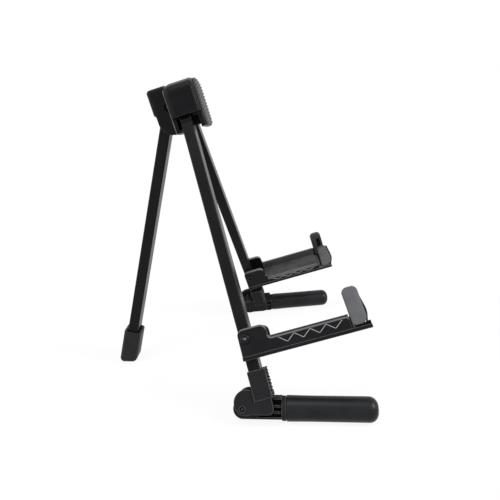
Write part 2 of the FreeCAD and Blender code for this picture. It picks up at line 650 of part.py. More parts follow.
def box_tube(name, top, bottom):
    """Hollow rectangular tube between two heights."""
    body = new_body(name)
    inside, narrow = HALF_DEPTH - D["tube_wall"], HALF_WIDTH - D["tube_wall"]
    walls = [rectangle(-HALF_DEPTH, HALF_DEPTH, -HALF_WIDTH, HALF_WIDTH),
             rectangle(-inside, inside, -narrow, narrow)]
    pad(polygons(body, name + "_section", "XY_Plane", walls, bottom), top - bottom)
    corners = [along("z", x=x, y=y) for x in (HALF_DEPTH, -HALF_DEPTH) for y in (HALF_WIDTH, -HALF_WIDTH)]
    round_edges(body, name + "_corners", D["tube_corner"], either(*corners))
    return body


def plug_stem(body, name, top):
    """Stem of a top plug, which fills the end of its tube."""
    across = HALF_DEPTH - D["tube_wall"] - D["fit_gap"]
    along_y = HALF_WIDTH - D["tube_wall"] - D["fit_gap"]
    stem = polygons(body, name, "XY_Plane", [rectangle(-across, across, -along_y, along_y)],
                    top - D["plug_insert"])
    pad(stem, D["plug_insert"])


def leg_tube(side_name):
    body = box_tube(f"{side_name}_leg_tube", -D["lug_drop"], TUBE_FOOT)
    hole = circles(body, f"{side_name}_rivet_hole", "XZ_Plane", [(0, -ARM_DROP)],
                   D["rivet_radius"] + D["fit_gap"])
    pocket(hole, D["tube_width"] + 2, both_ways=True)
    keep(body, LEG_FRAMES[side_name])


def leg_top_plug(side_name):
    """Moulded lug on the tube's upper end, rounded about the splay pin."""
    body = new_body(f"{side_name}_leg_top_plug")
    shoulder = polygons(body, f"{side_name}_lug_shoulder", "YZ_Plane",
                        [rectangle(-HALF_WIDTH, HALF_WIDTH, -D["lug_drop"], 0)])
    pad(shoulder, D["tube_depth"], both_ways=True)
    pad(circles(body, f"{side_name}_lug_round", "YZ_Plane", [(0, 0)], HALF_WIDTH), D["tube_depth"],
        both_ways=True)
    plug_stem(body, f"{side_name}_lug_stem", -D["lug_drop"])
    pocket(circles(body, f"{side_name}_lug_bore", "YZ_Plane", [(0, 0)], PIN_HOLE), D["tube_depth"] + 2,
           both_ways=True)
    keep(body, LEG_FRAMES[side_name])


def knuckle(side_name, sign):
    """Moulded leg end: a socket with a laddered front for the tube, and two cheeks that hold the foot's pin."""
    name = f"{side_name}_knuckle"
    body = new_body(name)
    half = D["socket_half_width"]
    pin = (-D["foot_pin_back"], -D["leg_reach"])
    floor = bar_ceiling(SOCKET_FRONT)
    socket = polygons(body, name + "_socket", "XY_Plane",
                      [rectangle(SOCKET_BACK, SOCKET_FRONT, -half, half)], floor)
    pad(socket, SOCKET_TOP - floor)
    round_centre = (pin[0] + D["cheek_centre_ahead"], pin[1] + D["cheek_centre_up"])
    pad(circles(body, name + "_cheek_back", "XZ_Plane", [round_centre], D["cheek_radius"]),
        2 * D["cheek_half_width"], both_ways=True)
    toe, heel = foot_point(D["cheek_toe"], -D["cheek_sole"]), foot_point(as_size(-3), -D["cheek_sole"])
    plate = [(SOCKET_BACK, round_centre[1] + D["cheek_radius"] / 2), (SOCKET_FRONT - 1, floor + 4), toe, heel,
             (round_centre[0] - D["cheek_radius"] / 2, round_centre[1])]
    pad(polygons(body, name + "_cheek_plate", "XZ_Plane", [plate]), 2 * D["cheek_half_width"], both_ways=True)
    round_edges(body, name + "_toe_round", D["cheek_toe_round"], along("y", x=toe[0], z=toe[1]))
    lift = D["bar_top"] + D["slide_gap"]
    far = D["leg_reach"] / 4
    room = [(-far, SOCKET_TOP), (SOCKET_BACK, SOCKET_TOP), (SOCKET_BACK, bar_ceiling(SOCKET_BACK)),
            foot_point(far, lift), foot_point(far, -far), (-far, -D["leg_reach"] - far)]
    pocket(polygons(body, name + "_bar_room", "XZ_Plane", [room]), 2 * D["cheek_gap"], both_ways=True)
    across, deep = HALF_DEPTH + D["fit_gap"], HALF_WIDTH + D["fit_gap"]
    seat = polygons(body, name + "_tube_seat", "XY_Plane", [rectangle(-across, across, -deep, deep)], SOCKET_TOP)
    pocket(seat, SOCKET_TOP - TUBE_FOOT + D["fit_gap"])
    first = SOCKET_TOP - D["ladder_pitch"]
    count = int(D["ladder_windows"].value)
    outer, inner = sign * D["ladder_half_width"], -sign * (half + 1)
    windows = [rectangle(inner, outer, first - index * D["ladder_pitch"],
                         first - index * D["ladder_pitch"] + D["ladder_window"]) for index in range(count)]
    pocket(polygons(body, name + "_ladder", "YZ_Plane", windows, SOCKET_FRONT), D["ladder_depth"])
    pocket(circles(body, name + "_pin_hole", "XZ_Plane", [pin], D["pin_radius"] + D["fit_gap"]), 4 * half,
           both_ways=True)
    keep(body, LEG_FRAMES[side_name])


def foot_pin(side_name):
    """Hollow steel pin through both cheeks and the foot bar."""
    body = new_body(f"{side_name}_foot_pin")
    ring = circles(body, f"{side_name}_foot_pin_wall", "XZ_Plane", [(0, 0)], D["pin_radius"])
    pad(ring, 2 * D["cheek_half_width"], both_ways=True)
    hollow = circles(body, f"{side_name}_foot_pin_hollow", "XZ_Plane", [(0, 0)], D["pin_radius"] / 2)
    pocket(hollow, 2 * D["cheek_half_width"] + 2, both_ways=True)
    keep(body, FOOT_FRAMES[side_name])


def arm_rivet(side_name, sign):
    """Hollow rivet through the leg, with a domed head outside and a rolled end inside."""
    name = f"{side_name}_arm_rivet"
    body = new_body(name)
    face = D["arm_half_width"] + D["slide_gap"]
    head, roll = face + D["rivet_head_height"], face + D["rivet_roll_height"]
    bore, shank, rim = D["rivet_bore"], D["rivet_radius"], D["rivet_rim"]
    wide, narrow = D["rivet_head_radius"], D["rivet_roll_radius"]
    profile = [(bore, -roll), (narrow - roll + face + rim, -roll), (narrow, -face - rim), (narrow, -face),
               (shank, -face), (shank, face), (wide, face), (wide, face + rim), (wide - head + face + rim, head),
               (bore, head)]
    placed = [(radius, height if sign > 0 else -height) for radius, height in profile]
    turn(polygons(body, name + "_profile", "XY_Plane", [placed]), "V_Axis")
    keep(body, ARM_FRAMES[side_name])


# Feet

def foot_bar(side_name):
    """Ribbed bar that swings on the foot pin, with a collar and a spigot for the sleeve."""
    name = f"{side_name}_foot_bar"
    body = new_body(name)
    high, wide, end = D["heel_radius"], D["bar_half_width"], D["bar_length"]
    top = D["bar_top"]
    beam = [(0, -high), (end, -high), (end, top), (top - high, top), (0, high)]
    pad(polygons(body, name + "_beam", "XZ_Plane", [beam]), 2 * wide, both_ways=True)
    pad(circles(body, name + "_heel", "XZ_Plane", [(0, 0)], high), 2 * wide, both_ways=True)
    round_edges(body, name + "_top_edges", D["bar_top_edge"],
                either(along("x", y=wide, z=top), along("x", y=-wide, z=top)))
    flanks = either(on_plane("y", wide), on_plane("y", -wide))
    round_edges(body, name + "_edges", D["bar_edge"],
                lambda edge: flanks(edge) and edge.BoundBox.XMin < end.value - 1e-3
                and edge.BoundBox.ZMin < -high.value / 2)
    pad(circles(body, name + "_collar", "YZ_Plane", [(0, 0)], D["collar_radius"], end), D["collar_length"])
    shoulder = end + D["collar_length"]
    pad(circles(body, name + "_spigot", "YZ_Plane", [(0, 0)], D["spigot_radius"], shoulder), D["spigot_length"])
    start, half_rib = D["bar_pocket_start"], D["bar_rib"] / 2
    levels = [(D["bar_rib_up"] + half_rib, top - D["bar_flange"]),
              (-D["bar_rib_up"] + half_rib, D["bar_rib_up"] - half_rib),
              (-high + D["bar_flange"], -D["bar_rib_up"] - half_rib)]
    pockets = [rectangle(start, end, low, top) for low, top in levels]
    for flank, sign in SIDES.items():
        sketch = polygons(body, f"{name}_{flank}_pockets", "XZ_Plane", pockets, -sign * wide)
        pocket(sketch, wide - D["bar_web"], backwards=sign > 0)
    pocket(circles(body, name + "_bore", "XZ_Plane", [(0, 0)], PIN_HOLE), 2 * wide + 2, both_ways=True)
    keep(body, FOOT_FRAMES[side_name])


def foot_sleeve(side_name):
    """Rubber sleeve over the spigot, closed and rounded at its free end: the surface that stands on the floor."""
    name = f"{side_name}_foot_sleeve"
    body = new_body(name)
    start = D["bar_length"] + D["collar_length"] + D["sleeve_groove"]
    pad(circles(body, name + "_outside", "YZ_Plane", [(0, 0)], D["sleeve_radius"], start), D["sleeve_length"])
    round_edges(body, name + "_nose", D["sleeve_nose"], on_plane("x", start + D["sleeve_length"]))
    depth = D["spigot_length"] - D["sleeve_groove"] + D["fit_gap"]
    pocket(circles(body, name + "_bore", "YZ_Plane", [(0, 0)], D["spigot_radius"] + D["fit_gap"], start), depth,
           backwards=True)
    keep(body, FOOT_FRAMES[side_name])


# Cradle arms

FLOOR_TOP = -D["arm_base"] + D["arm_floor"]
EAR_INSIDE = HALF_WIDTH + D["slide_gap"]
TROUGH = D["arm_half_width"] - D["arm_wall"]
TALL = D["stop_top"] + D["arm_base"]
STOP_BACK = D["arm_length"] - D["stop_back"]
WALL_END = STOP_BACK - D["arm_wall_end"]
LINER_END = WALL_END - D["liner_end"]


def inner_side_cut(body, name, sign, outlines, reach):
    """Cut outlines of the arm's side view through its inner half only."""
    pocket(polygons(body, name, "XZ_Plane", outlines), reach, backwards=sign > 0)


def arm_channel(side_name, sign):
    """Moulded channel with two ears that straddle the leg, a high outer wall and a lower inner wall."""
    name = f"{side_name}_arm_channel"
    body = new_body(name)
    low, rim, end = -D["arm_base"], -D["outer_rim"], WALL_END
    back, front, ear = -D["ear_back"], D["ear_front"], D["ear_top"]
    profile = [(back, low), (D["arm_length"], low), (D["arm_length"], FLOOR_TOP), (end + D["arm_wall_slant"], FLOOR_TOP),
               (end, rim), (front, rim), (front, ear), (back, ear)]
    pad(polygons(body, name + "_profile", "XZ_Plane", [profile]), 2 * D["arm_half_width"], both_ways=True)
    round_edges(body, name + "_ear_rounds", D["ear_round"],
                either(along("y", x=back, z=ear), along("y", x=front, z=ear)))
    round_edges(body, name + "_ear_root", D["ear_round"] / 2, along("y", x=front, z=rim))
    round_edges(body, name + "_rim_end", D["rim_round"], along("y", x=end, z=rim))
    outer, inner = on_plane("y", sign * D["arm_half_width"]), on_plane("y", -sign * D["arm_half_width"])
    root_end = (front + D["ear_round"] / 2).value + 1e-3
    round_edges(body, name + "_ear_edges", D["rim_edge"],
                lambda edge: edge.BoundBox.ZMax > FLOOR_TOP.value + 1e-3 and edge.BoundBox.XMin < end.value
                and (outer(edge) or inner(edge) and edge.BoundBox.XMax < root_end))
    lip = rectangle(back, D["arm_length"], low, FLOOR_TOP)
    pad(polygons(body, name + "_lip", "XZ_Plane", [lip]), 2 * (D["arm_half_width"] + D["arm_lip"]),
        both_ways=True)
    trough = rectangle(front, D["arm_length"] + 1, FLOOR_TOP, TALL)
    pocket(polygons(body, name + "_trough", "XZ_Plane", [trough]), 2 * TROUGH, both_ways=True)
    gap = rectangle(back - 1, front + 1, FLOOR_TOP, TALL)
    pocket(polygons(body, name + "_ear_gap", "XZ_Plane", [gap]), 2 * EAR_INSIDE, both_ways=True)
    heel = rectangle(back - 1, HALF_DEPTH + D["slide_gap"], low - 1, FLOOR_TOP + 1)
    pocket(polygons(body, name + "_leg_notch", "XZ_Plane", [heel]), 2 * EAR_INSIDE, both_ways=True)
    drop = rectangle(front + D["ear_round"] / 2, end + 1, -D["inner_rim"], rim + 1)
    inner_side_cut(body, name + "_inner_rim", sign, [drop], D["arm_half_width"] + 1)
    pocket(circles(body, name + "_rivet_hole", "XZ_Plane", [(0, 0)], D["rivet_radius"] + D["pin_gap"]),
           4 * D["arm_half_width"], both_ways=True)
    keep(body, ARM_FRAMES[side_name])


def arm_liner(side_name, sign):
    """Rubber liner of the channel: a trough in one section, with a bead and a groove along its outer rim."""
    name = f"{side_name}_arm_liner"
    body = new_body(name)
    start, end = D["ear_front"] + D["fit_gap"], LINER_END
    floor = FLOOR_TOP + D["liner_wall"]
    channel_rim = -D["outer_rim"]
    rim, low_rim = channel_rim + D["liner_proud"], -D["inner_rim"] + D["liner_proud"] / 2
    half = TROUGH - D["fit_gap"]
    inside, neck, bead = half - D["liner_wall"], half - D["liner_groove"], rim - D["liner_bead"]
    section = [(-half, FLOOR_TOP), (half, FLOOR_TOP), (half, channel_rim), (neck, channel_rim), (neck, bead),
               (half, bead), (half, rim), (inside, rim), (inside, floor), (-inside, floor), (-inside, low_rim),
               (-half, low_rim)]
    placed = [(sign * out, up) for out, up in section]
    pad(polygons(body, name + "_section", "YZ_Plane", [placed], start), end - start)
    uppers = [(half, rim), (inside, rim), (-inside, low_rim), (-half, low_rim)]
    round_edges(body, name + "_rounds", D["liner_round"],
                either(*[along("x", y=sign * out, z=up) for out, up in uppers]))
    keep(body, ARM_FRAMES[side_name])


STOP_FOOT = FLOOR_TOP + D["stop_foot"]
BELLY = STOP_FOOT + D["stop_belly_up"]
INNER_TOP = D["stop_top"] - D["inner_stop_drop"]


def leaned(ahead, up):
    """A point of the stop's side view, moved back with the stop's lean about its foot."""
    return ahead - (up - STOP_FOOT) * sine(D["stop_lean"]) / cosine(D["stop_lean"]), up


def leaning(back, front, low, top):
    """Side view of an upright of the stop, which leans back from its foot."""
    return [leaned(back, low), leaned(front, low), leaned(front, top), leaned(back, top)]


def swollen(front):
    """Foremost point of an upright whose front swells."""
    return leaned(front + D["stop_belly"], BELLY)


def above_swell(front, up):
    """Point at one height of the straight run from the swell to the inner pad's top."""
    low_ahead, low_up = swollen(front)
    top_ahead, top_up = leaned(front, INNER_TOP)
    return low_ahead + (top_ahead - low_ahead) * (up - low_up) / (top_up - low_up), up


FINGER_BACK = STOP_BACK + D["finger_ahead"]
FINGER_INSIDE = EAR_INSIDE + D["finger_gap"]
YOKE_BACK = D["arm_length"] - D["yoke_plate"]


def stop_yoke(side_name, sign):
    """Yoke on the arm's front end: a bridge, a tall front plate on the inner side and a finger for each pad."""
    name = f"{side_name}_stop_yoke"
    body = new_body(name)
    inside, top = FINGER_INSIDE, D["finger_top"]
    bridge, base = FLOOR_TOP + D["yoke_bridge"], FLOOR_TOP + D["yoke_base"]
    narrow = TROUGH - D["fit_gap"]
    sill = rectangle(YOKE_BACK, D["arm_length"], FLOOR_TOP, bridge)
    pad(polygons(body, name + "_bridge", "XZ_Plane", [sill]), 2 * narrow, both_ways=True)
    front = D["arm_length"]
    plate = [leaned(YOKE_BACK, STOP_FOOT), leaned(front, STOP_FOOT), swollen(front),
             above_swell(front, D["yoke_top"]), above_swell(YOKE_BACK, D["yoke_top"]), swollen(YOKE_BACK)]
    pad(polygons(body, name + "_plate", "XZ_Plane", [plate], sign * inside), D["yoke_half_width"] - inside,
        backwards=sign < 0)
    for face, place, more in (("front", front, D["yoke_plate"]), ("back", YOKE_BACK, D["plate_gap"])):
        ahead, up = swollen(place)
        round_edges(body, f"{name}_{face}_swell", D["stop_belly_round"] + more, along("y", x=ahead, z=up))
    deck = rectangle(STOP_BACK + 2, D["arm_length"], FLOOR_TOP, base)
    pad(polygons(body, name + "_deck", "XZ_Plane", [deck]), 2 * (EAR_INSIDE - D["fit_gap"]), both_ways=True)
    strap = leaning(FINGER_BACK, FINGER_BACK + D["finger_depth"], FLOOR_TOP, top)
    pad(polygons(body, name + "_strap", "XZ_Plane", [strap]), 2 * D["finger_out"], both_ways=True)
    between = leaning(FINGER_BACK - 1, FINGER_BACK + D["finger_depth"] + 1, base, top + 1)
    pocket(polygons(body, name + "_between", "XZ_Plane", [between]), 2 * inside, both_ways=True)
    foot = rectangle(FINGER_BACK - 1, FINGER_BACK + D["finger_depth"] + 1, FLOOR_TOP - 1, FLOOR_TOP + 0.6)
    for flank, way in SIDES.items():
        edge = polygons(body, f"{name}_{flank}_foot", "XZ_Plane", [foot], -way * (D["finger_out"] + 1))
        pocket(edge, D["finger_out"] + 1 - narrow, backwards=way > 0)
    keep(body, ARM_FRAMES[side_name])


def stop_pad(side_name, flank, sign, back, front, top, swells=False):
    """Rubber pad of the stop, a tall rounded block slotted over one finger of the yoke."""
    name = f"{side_name}_stop_{flank}_pad"
    body = new_body(name)
    low = STOP_FOOT
    face = EAR_INSIDE + D["stop_inner_gap"]
    corners = leaning(back, front, low, top)
    crown_front, crown_back = [corner[0] for corner in corners[2:]]
    if swells:
        corners.insert(2, swollen(front))
    outline = polygons(body, name + "_outline", "XZ_Plane", [corners], -sign * face)
    pad(outline, D["stop_outer_face"] - face, backwards=sign > 0)
    round_edges(body, name + "_crown", D["stop_round"],
                either(along("y", x=crown_back, z=top), along("y", x=crown_front, z=top)))
    round_edges(body, name + "_toe", D["stop_toe_round"], along("y", x=front, z=low))
    round_edges(body, name + "_heel", D["stop_heel_round"], along("y", x=back, z=low))
    if swells:
        ahead, up = swollen(front)
        round_edges(body, name + "_swell", D["stop_belly_round"], along("y", x=ahead, z=up))
    round_edges(body, name + "_edges", D["stop_edge"], on_plane("y", sign * D["stop_outer_face"]))
    gap = D["fit_gap"]
    slot = leaning(FINGER_BACK - gap, FINGER_BACK + D["finger_depth"] + gap, low - 1, D["finger_top"] + gap)
    cut = polygons(body, name + "_slot", "XZ_Plane", [slot], -sign * (face - 1))
    pocket(cut, D["finger_out"] + gap - face + 1, backwards=sign < 0)
    keep(body, ARM_FRAMES[side_name])


# Rear leg

def rear_leg_tube():
    body = box_tube("rear_leg_tube", -D["lug_drop"], -REAR_LENGTH + D["boot_sole"])
    keep(body, REAR_FRAME)


def rear_leg_plug():
    """Moulded lug on the rear tube's upper end, rounded about the rear pin."""
    body = new_body("rear_leg_plug")
    shoulder = polygons(body, "rear_lug_shoulder", "XZ_Plane",
                        [rectangle(-HALF_DEPTH, HALF_DEPTH, -D["lug_drop"], 0)])
    pad(shoulder, D["tube_width"], both_ways=True)
    pad(circles(body, "rear_lug_round", "XZ_Plane", [(0, 0)], HALF_DEPTH), D["tube_width"], both_ways=True)
    plug_stem(body, "rear_lug_stem", -D["lug_drop"])
    pocket(circles(body, "rear_lug_bore", "XZ_Plane", [(0, 0)], PIN_HOLE), D["tube_width"] + 2, both_ways=True)
    keep(body, REAR_FRAME)


def rear_boot():
    """Rubber boot on the rear tube, its sole cut level with the floor."""
    body = new_body("rear_boot")
    half, wide = D["boot_depth"] / 2, D["boot_half_width"]
    top, low = -REAR_LENGTH + D["boot_length"], -REAR_LENGTH
    slope = sine(D["rear_angle"]) / cosine(D["rear_angle"])
    deep = low - half * slope
    pad(polygons(body, "boot_section", "XY_Plane", [rectangle(-half, half, -wide, wide)], deep - 1),
        top - deep + 1)
    corners = [along("z", x=x, y=y) for x in (half, -half) for y in (wide, -wide)]
    round_edges(body, "boot_corners", D["boot_corner"], either(*corners))
    out = half + 1
    below = [(-out, low - out * slope), (-out, deep - 10), (out, deep - 10), (out, low + out * slope)]
    pocket(polygons(body, "boot_sole_cut", "XZ_Plane", [below]), 2 * wide + 2, both_ways=True)
    tilt = D["rear_angle"].value

    def on_sole(edge):
        points = [edge.valueAt(edge.FirstParameter), edge.valueAt(edge.LastParameter)]
        heights = [point.z - point.x * math.tan(math.radians(tilt)) for point in points]
        return all(abs(height - low.value) < 1e-3 for height in heights)

    round_edges(body, "boot_sole_edges", D["boot_sole_round"], on_sole)
    across, side = HALF_DEPTH + D["fit_gap"], HALF_WIDTH + D["fit_gap"]
    seat = polygons(body, "boot_seat", "XY_Plane", [rectangle(-across, across, -side, side)], top)
    pocket(seat, D["boot_length"] - D["boot_sole"])
    across, side = HALF_DEPTH + D["boot_mouth_gap"], HALF_WIDTH + D["boot_mouth_gap"]
    mouth = polygons(body, "boot_mouth", "XY_Plane", [rectangle(-across, across, -side, side)], top)
    pocket(mouth, D["boot_mouth"])
    keep(body, REAR_FRAME)


def build():
    head_front_shell()
    head_rear_shell()
    head_pad()
    head_screws()
    rear_leg_pin()
    rear_leg_tube()
    rear_leg_plug()
    rear_boot()
    for side_name, sign in SIDES.items():
        splay_pin(side_name, sign)
        leg_tube(side_name)
        leg_top_plug(side_name)
        knuckle(side_name, sign)
        foot_pin(side_name)
        arm_rivet(side_name, sign)
        foot_bar(side_name)
        foot_sleeve(side_name)
        arm_channel(side_name, sign)
        arm_liner(side_name, sign)
        stop_yoke(side_name, sign)
        stop_pad(side_name, "outer", sign, STOP_BACK, STOP_BACK + D["stop_depth"], D["stop_top"])
        stop_pad(side_name, "inner", -sign, STOP_BACK + D["stop_stagger"], YOKE_BACK - D["plate_gap"],
                 INNER_TOP, swells=True)
    DOC.recompute()


def centre_on_footprint():
    """Move every sub-part so that the origin lies under the middle of the whole stand, and return the move."""
    box = FreeCAD.BoundBox()
    for item in PARTS:
        box.add(item.Shape.optimalBoundingBox())
    move = VECTOR(-box.Center.x, -box.Center.y, -box.ZMin)
    for item in PARTS:
        place = item.Placement
        item.Placement = FreeCAD.Placement(place.Base + move, place.Rotation)
    DOC.recompute()
    return move


def check():
    for item in DOC.Objects:
        if "Invalid" in item.State or "Error" in item.State:
            raise RuntimeError(f"{item.Name} failed: {item.State}")
    for item in PARTS:
        if item.Shape.isNull() or not item.Shape.isValid():
            raise RuntimeError(f"{item.Label} has no valid shape")


def print_axes(move):
    """Print each pivot's place and axis, in mm."""
    def show(name, placement, axis):
        base = placement.Base + move
        way = placement.Rotation.multVec(axis)
        numbers = [round(number, 4) for number in (*base, *way)]
        print(f"pivot {name}: at {numbers[:3]}, along {numbers[3:]}")

    for side_name in SIDES:
        show(f"{side_name}_leg", LEG_FRAMES[side_name], X_AXIS)
        show(f"{side_name}_foot", FOOT_FRAMES[side_name], Y_AXIS)
        show(f"{side_name}_arm", ARM_FRAMES[side_name], Y_AXIS)
    show("rear_leg", REAR_FRAME, Y_AXIS)
    sole = REAR_FRAME.multVec(VECTOR(0, 0, -REAR_LENGTH.value)) + move
    print("boot sole middle:", [round(number, 4) for number in sole])


def write():
    os.makedirs("parts", exist_ok=True)
    for item in PARTS:
        item.Shape.exportStep(f"parts/{item.Label}.step")
        size = item.Shape.BoundBox
        print(f"{item.Label}: {len(item.Shape.Solids)} solid, {item.Shape.Volume:.0f} mm3, "
              f"{size.XLength:.1f} x {size.YLength:.1f} x {size.ZLength:.1f} mm")


build()
check()
shift = centre_on_footprint()
check()
print_axes(shift)
write()
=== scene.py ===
"""Looks of a folding guitar stand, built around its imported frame. Lengths are metres, or mm where named so."""
import json

import bmesh
import bpy
import numpy as np
from mathutils import Matrix


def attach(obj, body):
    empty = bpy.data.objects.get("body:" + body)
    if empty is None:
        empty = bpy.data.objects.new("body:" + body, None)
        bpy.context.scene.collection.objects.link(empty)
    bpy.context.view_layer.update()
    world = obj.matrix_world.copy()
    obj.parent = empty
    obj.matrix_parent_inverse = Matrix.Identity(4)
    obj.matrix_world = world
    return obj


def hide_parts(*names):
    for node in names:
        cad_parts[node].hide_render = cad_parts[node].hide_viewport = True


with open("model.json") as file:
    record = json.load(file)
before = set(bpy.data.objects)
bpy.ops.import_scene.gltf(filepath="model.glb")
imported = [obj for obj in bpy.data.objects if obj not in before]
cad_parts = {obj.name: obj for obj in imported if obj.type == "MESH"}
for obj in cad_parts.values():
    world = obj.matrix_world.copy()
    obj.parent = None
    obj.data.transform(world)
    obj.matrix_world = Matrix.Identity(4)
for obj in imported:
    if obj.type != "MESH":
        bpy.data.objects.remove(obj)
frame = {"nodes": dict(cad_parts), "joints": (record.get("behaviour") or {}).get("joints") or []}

joints = {joint["name"]: joint for joint in frame["joints"]}
MM = 0.001
bpy.context.view_layer.update()

# Studio
# A camera beside the stand at about head height, a seamless pale floor and large soft lamps.
# The floor and the world are white to the camera and in reflections, and the floor keeps a faint shadow.
CAMERA_FROM_PIVOT = np.array([65.62, -531.32, -22.56]) * MM
CAMERA_YAW, CAMERA_PITCH, CAMERA_ROLL = np.radians([0.87, 13.41, -3.02])
SENSOR = 36.0
FOCAL_PIXELS, FRAME_PIXELS = 490.46, 500
NEAREST = 0.01


def camera_axes(yaw, pitch, roll):
    """Right, up and backward directions of a camera looking along +Y, turned, tipped down and then rolled."""
    ahead = np.array([-np.sin(yaw) * np.cos(pitch), np.cos(yaw) * np.cos(pitch), -np.sin(pitch)])
    level = np.array([np.cos(yaw), np.sin(yaw), 0.0])
    upward = np.cross(level, ahead)
    right = np.cos(roll) * level + np.sin(roll) * upward
    return right, np.cross(right, ahead), -ahead


def place(thing, position, axes):
    """Link a camera or lamp into the scene, at a position and with the given right, up and backward axes."""
    item = bpy.data.objects.new(thing.name, thing)
    bpy.context.scene.collection.objects.link(item)
    turned = np.eye(4)
    turned[:3, :3] = np.stack(axes, axis=1)
    turned[:3, 3] = position
    item.matrix_world = Matrix(turned.tolist())
    return item


pivot = np.array(joints["left_leg_splay"]["pos_m"]) * [1, 0, 1]
camera = bpy.data.cameras.new("photo_camera")
camera.sensor_width = SENSOR
camera.lens = SENSOR * FOCAL_PIXELS / FRAME_PIXELS
camera.clip_start = NEAREST
bpy.context.scene.camera = place(camera, pivot + CAMERA_FROM_PIVOT,
                                 camera_axes(CAMERA_YAW, CAMERA_PITCH, CAMERA_ROLL))
bpy.context.scene.view_settings.view_transform = "Standard"


def node(tree, kind, inputs=None, **settings):
    """Add a shader node. An input given as a socket is linked, and any other value is set on the input."""
    made = tree.nodes.new(kind)
    for name, value in settings.items():
        setattr(made, name, value)
    for name, value in (inputs or {}).items():
        if isinstance(value, bpy.types.NodeSocket):
            tree.links.new(value, made.inputs[name])
        else:
            made.inputs[name].default_value = value
    return made


def seen_directly(tree):
    """1 for camera, glossy and transmission rays, which show the white background, and 0 for other rays."""
    path = node(tree, "ShaderNodeLightPath")
    shown = path.outputs["Is Camera Ray"]
    for name in ("Is Glossy Ray", "Is Transmission Ray"):
        shown = node(tree, "ShaderNodeMath", {0: shown, 1: path.outputs[name]}, operation="MAXIMUM").outputs[0]
    return shown


WHITE = (1.0, 1.0, 1.0, 1.0)
PAPER = (0.86, 0.86, 0.86, 1.0)
AMBIENT = 0.70
FLOOR_SHADOW = 0.10
SHADOW_NEAR, SHADOW_FAR = 0.20, 0.42
FLOOR_REACH = 6.0

world = bpy.data.worlds.new("studio")
bpy.context.scene.world = world
world.use_nodes = True
tree = world.node_tree
tree.nodes.clear()
light = node(tree, "ShaderNodeBackground", {"Color": WHITE, "Strength": AMBIENT})
white = node(tree, "ShaderNodeBackground", {"Color": WHITE, "Strength": 1.0})
both = node(tree, "ShaderNodeMixShader", {0: seen_directly(tree), 1: light.outputs[0], 2: white.outputs[0]})
node(tree, "ShaderNodeOutputWorld", {"Surface": both.outputs[0]})

paper = bpy.data.materials.new("pale_floor")
paper.use_nodes = True
tree = paper.node_tree
tree.nodes.clear()
matt = node(tree, "ShaderNodeBsdfDiffuse", {"Color": PAPER})
glow = node(tree, "ShaderNodeEmission", {"Color": WHITE, "Strength": 1.0})
away = node(tree, "ShaderNodeVectorMath", {0: node(tree, "ShaderNodeTexCoord").outputs["Object"]},
            operation="LENGTH")
clear = node(tree, "ShaderNodeMapRange", {0: away.outputs["Value"], 1: SHADOW_NEAR, 2: SHADOW_FAR,
                                          3: 1 - FLOOR_SHADOW, 4: 1.0}, interpolation_type="SMOOTHSTEP")
share = node(tree, "ShaderNodeMath", {0: seen_directly(tree), 1: clear.outputs[0]}, operation="MULTIPLY")
both = node(tree, "ShaderNodeMixShader", {0: share.outputs[0], 1: matt.outputs[0], 2: glow.outputs[0]})
node(tree, "ShaderNodeOutputMaterial", {"Surface": both.outputs[0]})

sheet = bpy.data.meshes.new("floor")
sheet.from_pydata([(x * FLOOR_REACH, y * FLOOR_REACH, 0.0) for x, y in ((-1, -1), (1, -1), (1, 1), (-1, 1))],
                  [], [(0, 1, 2, 3)])
sheet.materials.append(paper)
floor = bpy.data.objects.new("floor", sheet)
bpy.context.scene.collection.objects.link(floor)
AIM = np.array([0.0, 0.0, 0.15])


def softbox(name, position, size, power):
    """A square area lamp at a position, aimed at the middle of the stand."""
    lamp = bpy.data.lights.new(name, "AREA")
    lamp.size = size
    lamp.energy = power
    back = np.array(position) - AIM
    back /= np.linalg.norm(back)
    right = np.cross([0.0, 0.0, 1.0], back)
    right /= np.linalg.norm(right)
    return place(lamp, position, (right, np.cross(back, right), back))


softbox("key_lamp", (1.1, -0.5, 0.9), 0.6, 14)
softbox("top_lamp", (-0.2, -0.5, 1.4), 0.5, 5)
softbox("fill_lamp", (-1.2, -0.6, 0.6), 1.1, 7)

# Leg tubes
# Rectangular drawn steel tube, powder coated satin black: two front legs and a rear strut.
# The coat has a faint orange peel, and the tube's corners are lighter by a painted highlight.

nodes = frame["nodes"]
SIDES = {"left": 1, "right": -1}


def group(name, inputs, outputs):
    """A shader node group with named float, colour or vector sockets, and its two end nodes."""
    made = bpy.data.node_groups.new(name, "ShaderNodeTree")
    for label, kind, value in inputs:
        socket = made.interface.new_socket(label, in_out="INPUT", socket_type="NodeSocket" + kind)
        socket.default_value = value
    for label, kind in outputs:
        made.interface.new_socket(label, in_out="OUTPUT", socket_type="NodeSocket" + kind)
    return made, node(made, "NodeGroupInput"), node(made, "NodeGroupOutput")


CLEAR_REACH, CLEAR_FROM, CLEAR_TO = 0.0025, 0.65, 0.95
EDGE_SAMPLES = 6
UPWARD_FROM, UPWARD_TO = 0.47, 0.70
ROUGHNESS_SPREAD = 0.12


